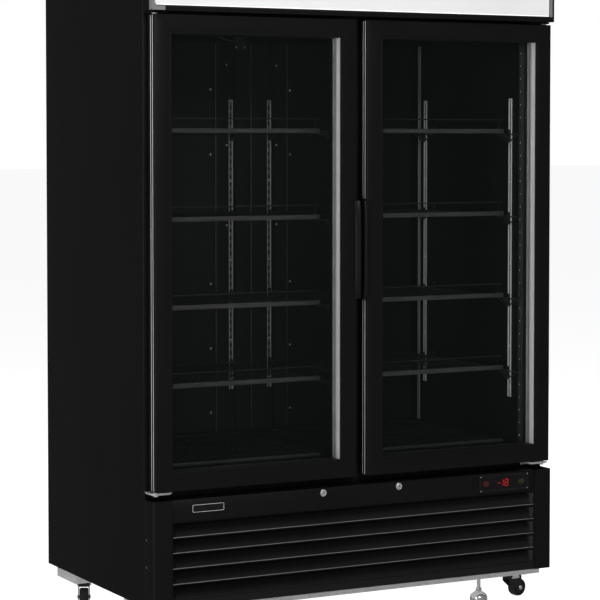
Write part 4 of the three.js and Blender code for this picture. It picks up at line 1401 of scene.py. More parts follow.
    def clips(self) -> None:
        """Hooks a V-shaped clip under every shelf at each standard and at the mullion."""
        rear_y, y = DUCT.high[1] - 6.6, MOUTH.high[1]
        clips = []
        for node in SHELF_NODES:
            side = -1.0 if node.startswith("left") else 1.0
            top = Extent.of(node).low[2] - 0.3
            for place in (STANDARD, Extent.of("left_rear_standard")):
                clips += self.wall_clip(side, place.low[1] + 8, top)
            x = side * self.rear_standard_x
            clips.append(prism(self.clip(rear_y, rear_y - 3, rear_y - 34, top), x - 5.5, x + 5.5, Axis.X))
            nose = prism(self.clip(y + 0.2, y + 3.4, y + 34, top, 8, 24), side * 36, side * 47, Axis.X)
            foot = block((side * 36, y + 24, top - 5), (side * 70, y + 34, top), 1.0)
            clips += [nose, foot]
        Piece("shelf_clips", "cabinet", "black_plastic").add(WIRE, *clips).done()

    def build(self) -> None:
        """Builds the inside."""
        self.mullion()
        self.lamps()
        self.duct()
        self.bracket()
        self.clips()
        for name, side in SIDES:
            for place in ("front", "rear"):
                node = f"{name}_{place}_standard"
                y = (Extent.of(node).low[1] + Extent.of(node).high[1]) / 2
                wall = side * (WALL - 0.3)
                Standard(f"{name}_{place}_strip", (wall, y, 0), Axis.X, -side).build([node])
            centre = (side * self.rear_standard_x, DUCT.high[1] - 2.4, 0)
            Standard(f"{name}_middle_strip", centre, Axis.Y, -1.0).build()
        dress("inner_liner", LINER)


@dataclass
class WireShelf:
    """A coated wire shelf: rims, long wires, cross rods, a front rail and a guard wire."""

    rim: float = 2.6
    wire: float = 1.5
    rod: float = 1.6
    wires: int = 23
    rods: int = 4
    guard_rise: float = 29.0

    def deck(self, x0: float, x1: float, y0: float, y1: float, z: float) -> list[Surface]:
        """The rack's wires, rods and rim.

        Args:
            x0: left edge.
            x1: right edge.
            y0: front edge.
            y1: rear edge.
            z: level of the rim's middle.

        Returns:
            The surfaces.
        """
        edge = rectangle(x0 + self.rim, y0 + 4, x1 - self.rim, y1 - self.rim, 9.0)
        rim = tube(laid(edge, z, Axis.Z), self.rim, 8, loop=True)
        long_x = np.linspace(x0, x1, self.wires + 2)[1:-1]
        cross_y = np.linspace(y0, y1, self.rods + 2)[1:-1]
        top, low = z + self.rim - self.wire, z - 1
        x_mid, y_mid = (x0 + x1) / 2, (y0 + y1) / 2
        wires = [tube([(x, y0 + 4, top), (x, y_mid, top), (x, y1 - 2, top)], self.wire, 6) for x in long_x]
        rods = [tube([(x0 + 3, y, low), (x_mid, y, low), (x1 - 3, y, low)], self.rod, 6) for y in cross_y]
        return [rim, *wires, *rods]

    def build_shelf(self, node: str) -> None:
        """Builds the shelf that stands for one CAD shelf."""
        box = Extent.of(node)
        (x0, y0, z0), (x1, y1, z1) = box.low, box.high
        rail = block((x0 + 1, y0, z0 + 0.4), (x1 - 1, y0 + 4, z1), 1.4, 3)
        top = z1 + self.guard_rise
        guard = rounded([
            (x0 + 3, y0 + 30, z0 + 3), (x0 + 3, y0 + 30, top - 12), (x0 + 3, y0 + 4, top),
            (x1 - 3, y0 + 4, top), (x1 - 3, y0 + 30, top - 12), (x1 - 3, y0 + 30, z0 + 3),
        ], [0, 10, 7, 7, 10, 0], 6, closed=False)
        piece = Piece(f"{node}_wires", node, "wire_black")
        piece.add(WIRE, *self.deck(x0, x1, y0, y1, z0 + 2.7), tube(guard, 2.0, 8)).add(RAIL, rail).done(node)

    def build(self) -> None:
        """Builds the eight shelves and the two racks on the floor."""
        for node in SHELF_NODES:
            self.build_shelf(node)
        first = Extent.of(SHELF_NODES[0])
        floor_z = MOUTH.low[2] + 10
        for name, side in SIDES:
            xs = sorted((side * -first.low[0], side * -first.high[0]))
            feet = [
                block((x - 4, y - 8, MOUTH.low[2] + 0.2), (x + 4, y + 8, floor_z), 1.0)
                for x in np.linspace(xs[0] + 20, xs[1] - 20, 3)
                for y in (first.low[1] + 60, first.high[1] - 60)
            ]
            rack = self.deck(xs[0], xs[1], first.low[1], first.high[1], floor_z)
            rail = block((xs[0], first.low[1], floor_z - 3), (xs[1], first.low[1] + 4, floor_z + 6), 1.2)
            Piece(f"{name}_floor_rack", "cabinet", "wire_black").add(WIRE, *rack).add(RAIL, rail).add(
                TRIM_BLACK, *feet).done()


# ---- Lower front -----------------------------------------------------------------------------

CONTROLLER = Extent.of("controller")
SEGMENTS = {"1": "bc", "8": "abcdefg", "-": "g"}


@dataclass
class Plinth:
    """Louvred lower front with its corner posts, blank badge and sill."""

    band: float = 62.0
    sill: float = 25.0
    louvres: int = 5
    depth: float = 24.0
    taper: float = 13.0
    cheek: float = 1.6
    sheet: float = 2.0
    post_bend: float = 12.0
    lock_x: float = 130.0
    badge_low: tuple[float, float] = (-558.0, 383.0)
    badge_high: tuple[float, float] = (-458.0, 404.5)

    def louvre_surface(self) -> Surface:
        """The blades as one folded sheet.

        The depth behind the face is D(z) T(x). D rises along each slanted blade and falls back
        under the next lip. T is 1 along the blades and falls to 0 over the closed ends. The same
        sheet moved back by its thickness closes the skin behind.

        Returns:
            The sheet's skin.
        """
        (x0, face, z0), (x1, _, z1) = PLINTH.low, PLINTH.high
        low, high = z0 + self.sill, z1 - self.band
        pitch = (high - low) / self.louvres
        fold = np.array([
            (-2.0, 0.0), (-1.4, -0.5), (0.8, -0.5), (1.6, 0.4), (3.0, 1.6), (pitch - 13, 0.92 * self.depth),
            (pitch - 11.5, self.depth), (pitch - 9.5, self.depth), (pitch - 8.5, 0.94 * self.depth),
            (pitch - 3.4, 1.6), (pitch - 2.6, 0.5),
        ])
        start = low + np.arange(self.louvres)[:, None] * pitch
        z = np.concatenate([(start + fold[:, 0]).reshape(-1), [high - 2.0, high]])
        deep = np.concatenate([np.tile(fold[:, 1], self.louvres), [0.0, 0.0]])
        inner0, inner1 = x0 + self.cheek, x1 - self.cheek
        ends = np.array([0.0, 1.0, 2.0, 0.5 * self.taper, self.taper - 1, self.taper + 1])
        x = np.concatenate([inner0 + ends, [0.0], inner1 - ends[::-1]])
        reach = np.minimum(x - inner0, inner1 - x)
        share = np.clip((reach - 1.5) / (self.taper - 1.5), 0, 1)
        y = face + deep[None] * share[:, None]
        front = np.stack(np.broadcast_arrays(x[:, None], y, z[None]), axis=-1)
        back = front + np.array([0, 1.2, 0])
        return loft(np.concatenate([front, back[:, ::-1]], axis=1))

    def grille(self) -> None:
        """Builds the band, the flange with its two cam slots, the cheeks, the blades and the sill."""
        (x0, face, z0), (x1, _, z1) = PLINTH.low, PLINTH.high
        band = block((x0, face, z1 - self.band), (x1, face + self.sheet, z1), 0.8)
        sill = prism(rounded([
            (face, z0), (face, z0 + self.sill - 3), (face + 1.2, z0 + self.sill - 2),
            (face + 1.2, z0 + self.sill - 1), (face - 0.6, z0 + self.sill),
            (face - 0.6, z0 + self.sill + 1.4), (face + 3, z0 + self.sill + 1.4), (face + 3, z0),
        ], 0.4, 2), x0, x1, Axis.X)
        cheeks = [
            block((a, face, z0), (b, face + self.depth + 2, z1), 0.8)
            for a, b in ((x0, x0 + self.cheek), (x1 - self.cheek, x1))
        ]
        z_flange, y_back = z1 - self.sheet, PLINTH.high[1]
        slot0, slot1 = face + 12.6, face + 22.4
        strips = [block((x0, face + 1, z_flange), (x1, slot0, z1), 0.5),
                  block((x0, slot1, z_flange), (x1, y_back, z1), 0.5)]
        bounds = [x0, -self.lock_x - 9.4, -self.lock_x + 48.4, self.lock_x - 9.4, self.lock_x + 48.4, x1]
        strips += [
            block((a, slot0 - 1, z_flange), (b, slot1 + 1, z1), 0.3) for a, b in zip(bounds[::2], bounds[1::2])
        ]
        grille = Piece("plinth_grille", "cabinet", "black_paint")
        grille.add(BODY_PAINT, band, *cheeks, *strips, self.louvre_surface()).add(SILL_PAINT, sill)
        grille.done("front_grille")
        # Lighter strips along the louvre lips: painted highlights where the lip edges catch the light.
        lip_highlights = [
            block((x0 + self.cheek + 1, face - 1.6, z), (x1 - self.cheek - 1, face - 0.2, z + 2.2), 0.6)
            for z in PLINTH.low[2] + self.sill - 1.4 + np.arange(1, self.louvres) * (
                (z1 - self.band - z0 - self.sill) / self.louvres)
        ]
        Piece("louvre_lip_highlights", "cabinet", "black_paint").add(LIP_HIGHLIGHT, *lip_highlights).done()

    def posts(self) -> None:
        """Builds the rounded corner posts, each with two screws in its side."""
        node = Extent.of("left_corner_post")
        (x0, face, z0), (x1, back, z1) = node.low, node.high
        s, r = self.sheet, self.post_bend
        plan = [
            (x0, back), (x0, face), (x1, face), (x1, face + 3 * s), (x1 - s, face + 3 * s),
            (x1 - s, face + s), (x0 + s, face + s), (x0 + s, back),
        ]
        skin = prism(rounded(plan, [0.4, r, 1.2, 0.4, 0.4, 0.4, r - s, 0.4], 8), z0, z1, Axis.Z)
        heads = [screw_head((x0, back - 18, z), 4.2, -2.0, Axis.X) for z in (z0 + 197, z0 + 118)]
        for name, side in SIDES:
            post = Piece(f"{name}_plinth_post", "cabinet", "black_paint").add(BODY_PAINT, skin.mirrored(side))
            post.add(RAIL, *[head.mirrored(side) for head in heads]).done(f"{name}_corner_post")

    def badge(self) -> None:
        """Adds the blank name plate with its thin grey rim."""
        (x0, z0), (x1, z1), face = self.badge_low, self.badge_high, PLINTH.low[1]
        plate = prism(rectangle(x0, z0, x1, z1, 3.0), face - 1.0, face - 0.1, Axis.Y)
        rim = framed(
            rectangle(x0, z0, x1, z1, 3.0), rectangle(x0 + 0.9, z0 + 0.9, x1 - 0.9, z1 - 0.9, 2.2),
            [(0, face - 0.1), (0, face - 1.5), (1, face - 1.5), (1, face - 0.1)],
        )
        badge = Piece("blank_badge", "cabinet", "black_plastic")
        badge.add(TRIM_BLACK, plate).add(SILVER, rim).done(bevel=0.15)

    def build(self) -> None:
        """Builds the lower front."""
        self.grille()
        self.posts()
        self.badge()


@dataclass
class Controller:
    """Temperature controller: a bezel, a dark window, a lit readout and two keys."""

    readout: str = "-18"
    readout_start: float = 66.0
    digit_height: float = 20.0
    digit_width: float = 11.0
    stroke: float = 1.9
    gap: float = 7.0
    slant: float = 0.08

    def digit(self, mark: str, x: float, z: float, y: float) -> list[Surface]:
        """The lit bars of one place of the readout.

        Args:
            mark: the sign or digit.
            x: its left edge.
            z: its lower edge.
            y: depth of its face.

        Returns:
            One thin slanted hexagon for each lit bar.
        """
        w, h, t = self.digit_width, self.digit_height, self.stroke
        ends = {
            "a": ((0, h), (w, h)), "b": ((w, h), (w, h / 2)), "c": ((w, h / 2), (w, 0)),
            "d": ((0, 0), (w, 0)), "e": ((0, h / 2), (0, 0)), "f": ((0, h), (0, h / 2)),
            "g": ((0, h / 2), (w, h / 2)),
        }
        bars = []
        for letter in SEGMENTS[mark]:
            start, end = (np.array(p, float) for p in ends[letter])
            along = (end - start) / np.linalg.norm(end - start)
            across = np.array([-along[1], along[0]]) * t / 2
            a, b = start + along * 0.5, end - along * 0.5
            hexagon = np.array([a, a + along * t / 2 + across, b - along * t / 2 + across, b,
                                b - along * t / 2 - across, a + along * t / 2 - across])
            hexagon[:, 0] += hexagon[:, 1] * self.slant
            bars.append(prism(hexagon + (x, z), y, y + 0.4, Axis.Y))
        return bars

    def build(self) -> None:
        """Builds the controller over its CAD body."""
        (x0, y0, z0), (x1, y1, z1) = CONTROLLER.low, CONTROLLER.high
        face, middle = PLINTH.low[1], (z0 + z1) / 2
        outer, window = rectangle(x0, z0, x1, z1, 5.0, 5), rectangle(x0 + 9, z0 + 8, x1 - 9, z1 - 8, 4.0, 5)
        bezel = framed(outer, window, [
            (0, face - 0.2), (0, y0 + 1.2), (0.12, y0 + 0.2), (0.25, y0), (0.8, y0), (1, y0 + 1.0),
            (1, face - 0.2),
        ])
        pane = prism(rectangle(x0 + 8.6, z0 + 7.6, x1 - 8.6, z1 - 7.6, 4.0), y0 + 1.4, y0 + 2.6, Axis.Y)
        body = block((x0 + 8.5, face + 0.1, z0 + 8.5), (x1 - 8.5, y1, z1 - 8.5), 1.0)
        unit = Piece("controller_face", "cabinet", "black_plastic")
        unit.add(TRIM_BLACK, bezel, body).add(DISPLAY, pane)
        for finish, x in ((KEY_RED, x0 + 24), (KEY_GREEN, x1 - 27)):
            oval = rectangle(x - 11, middle - 8, x + 11, middle + 8, 7.9, 6)
            unit.add(finish, prism(oval, y0 + 0.7, y0 + 1.5, Axis.Y))
        screws = [
            screw_head((x, y0, z), 1.5, -0.7, Axis.Y) for x in (x0 + 5, x1 - 5) for z in (z0 + 5, z1 - 5)
        ]
        unit.add(ZINC, *screws).done("controller")
        start, lit = x0 + self.readout_start, []
        for mark in self.readout:
            narrow = self.digit_width - self.stroke if mark == "1" else 0.0
            lit += self.digit(mark, start - narrow, middle - self.digit_height / 2, y0 + 0.9)
            start += self.digit_width - narrow + self.gap
        Piece("controller_readout", "cabinet", "black_plastic").add(DIGIT, *lit).done()


@dataclass
class Lock:
    """Cam lock: a round face with a keyway, a barrel and a cam that turns into the door."""

    name: str
    side: float
    face: float = 10.5
    barrel: float = 8.0
    cam_near: float = 16.0
    cam_thick: float = 3.0
    cam_long: float = 48.0

    def build(self) -> None:
        """Builds the lock with its cam lying level, as it does when it is open."""
        node = f"{self.name}_lock"
        box = Extent.of(node)
        y0 = PLINTH.low[1]
        x, z = box.low[0] + self.face, box.low[2] + self.face
        rim = lathe([
            (8, -0.3), (self.face, -0.3), (self.face, -2.4), (self.face - 0.8, -3.6), (self.face - 2, -4),
            (7.2, -4), (6.9, -3.3), (6.6, -3.3),
        ], (x, y0, z), Axis.Y, 32)
        plug = lathe([(6.5, -1), (6.5, -3.5), (6.2, -3.8)], (x, y0, z), Axis.Y, 28)
        # The keyway is a black bar on the plug's face: painted shade for the slot.
        keyway_shade = prism(rectangle(x - 0.8, z - 4, x + 0.8, z + 4, 0.7, 3), y0 - 3.95, y0 - 3.0, Axis.Y)
        barrel = lathe([(self.barrel, -0.4), (self.barrel, 20)], (x, y0, z), Axis.Y, 24)
        far = x + self.cam_long
        cam = rounded([(x - 6, z - 6), (far, z - 5), (far, z + 5), (x - 6, z + 6)], [6, 3, 3, 6], 4)
        plate = prism(cam, y0 + self.cam_near, y0 + self.cam_near + self.cam_thick, Axis.Y)
        nut = lathe([(5.5, 19), (5.5, 23.4), (4.8, 24)], (x, y0, z), Axis.Y, 6)
        lock = Piece(f"{self.name}_cam_lock", node, "chrome_plate")
        lock.add(CHROME, rim, plug, barrel).add(ZINC, plate, nut).add(TRIM_BLACK, keyway_shade).done(node, bevel=0.25)


@dataclass
class Locks:
    """Both cam locks."""

    def build(self) -> None:
        """Builds them."""
        for name, side in SIDES:
            Lock(name, side).build()


# ---- Underneath ------------------------------------------------------------------------------


@dataclass
class Castor:
    """Swivel castor: a pressed fork on a ball race, a wheel with its axle, and maybe a brake."""

    place: str
    turn: float
    braked: bool
    wheel_radius: float = 28.0
    wheel_wide: float = 28.0
    trail: float = 21.0
    fork_top: float = 71.7
    cheek_inner: float = 14.8
    cheek_outer: float = 17.8

    @property
    def centre(self) -> tuple[float, float]:
        """The swivel's place in plan: the CAD wheel's middle, less the trail along its heading."""
        box, heading = Extent.of(f"{self.place}_castor_wheel"), math.radians(self.turn)
        x, y = (box.low[0] + box.high[0]) / 2, (box.low[1] + box.high[1]) / 2
        return x - self.trail * math.cos(heading), y - self.trail * math.sin(heading)

    def put(self, surface: Surface) -> Surface:
        """Turns a surface made about the swivel and puts it under the frame."""
        x, y = self.centre
        return surface.turned(self.turn).moved(x, y)

    def fork(self) -> None:
        """Builds the fork: two pressed cheeks, a crown, the race's rings and rivets."""
        r, t, top = self.wheel_radius, self.trail, self.fork_top
        outline = rounded([
            (-24, top), (-24, 50), (t - 9, r - 9), (t, r - 13), (t + 9, r - 9), (t + 11, r),
            (26, 55), (24, top),
        ], [2, 8, 5, 5, 5, 5, 8, 2], 5)
        cheeks = [
            prism(outline, s * self.cheek_inner, s * self.cheek_outer, Axis.Y) for s in (1, -1)
        ]
        crown = block((-24, -self.cheek_outer, 2 * r + 3), (24, self.cheek_outer, top), 2.0, 3)
        steps = [(20, 60), (23, 61), (23, 66), (21.5, 67.4), (23.6, 68.6), (23.6, top - 0.1)]
        race = lathe(steps, (0, 0, 0), Axis.Z, 36)
        rivets = [
            screw_head((x, s * self.cheek_outer, z), 2.4, s * 1.4, Axis.Y)
            for s in (-1, 1) for x, z in ((-14, 62), (14, 62))
        ]
        piece = Piece(f"{self.place}_fork_pressing", f"{self.place}_castor", "cast_black")
        piece.add(FORK_COAT, *[self.put(s) for s in (*cheeks, crown)]).add(
            ZINC, self.put(race), *[self.put(s) for s in rivets])
        piece.done(f"{self.place}_castor_fork", bevel=0.6)

    def wheel(self) -> None:
        """Turns the wheel: a crowned tread, a dished hub with a raised ring, and axle heads."""
        r, h, out = self.wheel_radius, self.wheel_wide / 2, self.cheek_outer
        centre = (self.trail, 0, r)
        half = [(r - 7, h - 1.4), (r - 5.5, h), (r - 3, h - 0.2), (r - 1.2, h - 2), (r - 0.2, h - 6), (r, 0)]
        tread = [(rad, -y) for rad, y in half] + [(rad, y) for rad, y in reversed(half[:-1])]
        hub_half = [(4.2, h), (8, h), (9, h - 2.5), (15, h - 3.2), (17, h - 1.2), (r - 7, h - 1.3)]
        hub = [(rad, -y) for rad, y in hub_half] + [(rad, y) for rad, y in reversed(hub_half)]
        heads = [
            lathe([(3.9, 0), (3.9, s * (out + 0.35)), (6.2, s * (out + 0.35)), (6.4, s * (out + 1.8)),
                   (5.2, s * (out + 2.9)), (2, s * (out + 3))], centre, Axis.Y, 24)
            for s in (-1, 1)
        ]
        piece = Piece(f"{self.place}_wheel_tyre", f"{self.place}_wheel", "wheel_black")
        piece.add(TREAD, self.put(lathe(tread, centre, Axis.Y, 48))).add(
            TRIM_BLACK, self.put(lathe(hub, centre, Axis.Y, 36))).add(CHROME, *[self.put(s) for s in heads])
        piece.done(f"{self.place}_castor_wheel")

    def brake(self) -> None:
        """Bends the brake pedal: a strip whose outline in X and Z is carried across its width."""
        low, top = self.fork_top - 6, self.fork_top - 3
        side = rounded([
            (26.8, low), (44, low), (50, low - 2.6), (50.6, low + 0.2), (45, top), (26.8, top),
        ], [0.5, 6, 1, 1, 6, 0.5], 4)
        strip = prism(side, -10, 10, Axis.Y)
        ridges = [block((x, -8, top - 0.3), (x + 1.4, 8, top + 0.7), 0.5, 1) for x in (34, 38, 42)]
        piece = Piece(f"{self.place}_brake_tab", f"{self.place}_brake", "zinc_plate")
        piece.add(ZINC, *[self.put(s) for s in (strip, *ridges)]).done(f"{self.place}_brake_pedal", bevel=0.5)

    def build(self) -> None:
        """Builds the castor."""
        self.fork()
        self.wheel()
        if self.braked:
            self.brake()


@dataclass
class Underside:
    """Base beams, four castors and two levelling feet."""

    def feet(self) -> None:
        """Turns the feet: a rubber base, a chromed cone, a flared hexagon and a threaded stem."""
        for name, side in SIDES:
            node = f"{name}_levelling_foot"
            box = Extent.of(node)
            centre = ((box.low[0] + box.high[0]) / 2, (box.low[1] + box.high[1]) / 2, 0)
            rubber = lathe([(24, 0), (26.5, 0.4), (28, 3), (28, 9), (27.4, 10)], centre, Axis.Z, 40)
            cone = lathe([
                (27.2, 10.2), (27.6, 12), (27.4, 21), (24, 29), (12, 37.5), (8.4, 40),
            ], centre, Axis.Z, 40)
            nut = lathe([(9.6, 39.6), (10.4, 41), (10.4, 47), (8.6, 50)], centre, Axis.Z, 6)
            turns = np.arange(50.0, box.high[2] - 0.5, 1.5)
            thread = [(6.0 - 0.8 * (k % 2), z) for k, z in enumerate(turns)]
            foot = Piece(f"{name}_foot_pad", f"{name}_foot", "chrome_plate")
            foot.add(SEAL, rubber).add(CHROME, cone, nut, lathe(thread, centre, Axis.Z, 18)).done(node)

    def bolts(self) -> None:
        """Bolts the castor plates to the beams and the beams to the cabinet."""
        beam = Extent.of("base_frame")
        heads = []
        for place in CASTORS:
            x, y = Castor(*place).centre
            heads += [
                lathe([(5.4, 78), (5.4, 74.6), (4.6, 73.8)], (x + dx, y + dy, 0), Axis.Z, 6)
                for dx in (-25.5, 25.5) for dy in (-25.5, 25.5)
            ]
        for x in np.linspace(beam.low[0] + 60, beam.high[0] - 60, 7):
            heads.append(screw_head((x, beam.low[1], 96), 3.6, -1.8, Axis.Y))
        Piece("base_bolts", "cabinet", "zinc_plate").add(ZINC, *heads).done()

    def build(self) -> None:
        """Builds what stands on the floor."""
        for place in CASTORS:
            Castor(*place).build()
        self.feet()
        self.bolts()
        dress("base_frame", STEEL)


CASTORS = (
    ("front_left", 9.0, True), ("front_right", 9.0, True),
    ("rear_left", -112.0, False), ("rear_right", -112.0, False),
)


# ---- Cold side and machine compartment -------------------------------------------------------


def fan_rotor(radius: float, hub: float, height: float, blades: int) -> list[Surface]:
    """A fan's rotor about Z: a domed hub and swept, twisted blades.

    Blade point (u, v) lies at the radius r = hub + u (radius - hub), at the angle
    (v - 1/2) w(u) + s u, and at the height (1/2 - v) p(u) + camber (1 - (2v - 1)^2). The width w
    grows outwards and the pitch p falls, so that the blade twists.

    Args:
        radius: the blades' outer radius.
        hub: the hub's radius.
        height: the hub's height.
        blades: how many blades there are.

    Returns:
        The rotor's surfaces, centred on the origin.
    """
    half = height / 2
    skins = [lathe([
        (hub - 5, -half), (hub, -half), (hub, half - 5), (hub - 2, half - 1.5), (hub - 7, half), (5, half),
    ], (0, 0, 0), Axis.Z, 32)]
    u, v = np.linspace(0, 1, 12)[:, None], np.linspace(0, 1, 10)[None, :]
    r = hub - 1 + u * (radius - hub + 1)
    width = (1.0 + 0.25 * u) * 2 * math.pi / blades * 0.72
    angle = (v - 0.5) * width + 0.35 * u
    pitch = height * (0.95 - 0.4 * u)
    rise = (0.5 - v) * pitch + 2.5 * (1 - (2 * v - 1) ** 2)
    face = np.stack([r * np.cos(angle), r * np.sin(angle), rise], axis=-1)
    blade = loft(np.concatenate([face, face[:, ::-1] - np.array([0, 0, 1.8])], axis=1))
    return skins + [blade.turned(360 * k / blades) for k in range(blades)]


def tipped(surface: Surface) -> Surface:
    """A surface turned about X, so that what pointed up points back."""
    return Surface(surface.points[:, [0, 2, 1]], surface.quads, surface.lids).outward()


@dataclass
class FanGuard:
    """A wire guard: rings and spokes in a plane across an axis."""

    centre: Point
    radius: float
    axis: Axis
    rings: int = 5
    spokes: int = 6

    def surfaces(self) -> list[Surface]:
        """The guard's wires."""
        angle = np.linspace(0, 2 * math.pi, 41)[:-1]
        circle = np.stack([np.cos(angle), np.sin(angle)], axis=-1)
        wires = [
            tube(laid(circle * r, 0, self.axis), 1.1, 6, loop=True)
            for r in np.linspace(self.radius * 0.2, self.radius, self.rings)
        ]
        for turn in np.arange(self.spokes) * 2 * math.pi / self.spokes:
            way = np.array([math.cos(turn), math.sin(turn)])
            line = np.linspace(0.2, 1, 3)[:, None] * way * self.radius
            wires.append(tube(laid(line, 1.8 if self.axis is Axis.Y else -1.8, self.axis), 1.3, 6))
        return [wire.moved(*self.centre) for wire in wires]


@dataclass
class ColdSide:
    """Evaporator coil, its two fans and their guards, in the tray under the ceiling."""

    fins: int = 110
    fan_radius: float = 99.0
    fan_hub: float = 25.0
    blades: int = 5

    def coil(self) -> None:
        """Builds the finned coil: thin plates, end plates, pipes and their return bends."""
        box = Extent.of("evaporator_coil")
        x0, x1 = box.low[0] + 14, box.high[0] - 14
        (y0, z0), (y1, z1) = box.low[1:], box.high[1:]
        fins = [
            block((x - 0.25, y0, z0), (x + 0.25, y1, z1), 0.1, 1)
            for x in np.linspace(x0 + 4, x1 - 4, self.fins)
        ]
        ends = [block((x - 1, y0 - 2, z0 - 2), (x + 1, y1, z1 + 2), 0.6, 1) for x in (x0, x1)]
        core = block((x0 + 2, y0 + 5, z0 + 5), (x1 - 2, y1 - 5, z1 - 5), 1.0)
        pipes = []
        for z in np.linspace(z0 + 22, z1 - 22, 4):
            for start in np.arange(y0 + 30, y1 - 50, 62.0):
                for x, out in ((x0, -1), (x1, 1)):
                    bend = rounded([(x, start, z), (x + out * 13, start, z), (x + out * 13, start + 31, z),
                                    (x, start + 31, z)], [0, 9, 9, 0], 5, closed=False)
                    pipes.append(tube(bend, 4.0, 10))
        coil = Piece("cold_coil", "cabinet", "fin_metal")
        coil.add(FINS, *fins).add(STEEL, *ends, core).add(COPPER, *pipes).done("evaporator_coil")

    def build(self) -> None:
        """Builds the cold side."""
        self.coil()
        tray = Extent.of("evaporator_cover")
        for name, _ in SIDES:
            node = f"evaporator_fan_{name}"
            box = Extent.of(node)
            centre = tuple((a + b) / 2 for a, b in zip(box.low, box.high))
            height = box.high[2] - box.low[2]
            rotor = [s.moved(*centre) for s in fan_rotor(self.fan_radius, self.fan_hub, height, self.blades)]
            Piece(f"{name}_cold_rotor", node, "black_plastic").add(FAN_PLASTIC, *rotor).done(node)
            guard = FanGuard((centre[0], centre[1], tray.low[2] - 1.4), self.fan_radius + 6, Axis.Z)
            Piece(f"{name}_cold_guard", "cabinet", "wire_black").add(WIRE, *guard.surfaces()).done()
        y, z = tray.low[1], tray.low[2]
        heads = [
            screw_head((x, y, z + 26), 3.8, -2.0, Axis.Y)
            for x in np.linspace(tray.low[0] + 30, tray.high[0] - 30, 7)
        ]
        Piece("tray_screws", "cabinet", "zinc_plate").add(ZINC, *heads).done()
        dress("evaporator_cover", LINER)


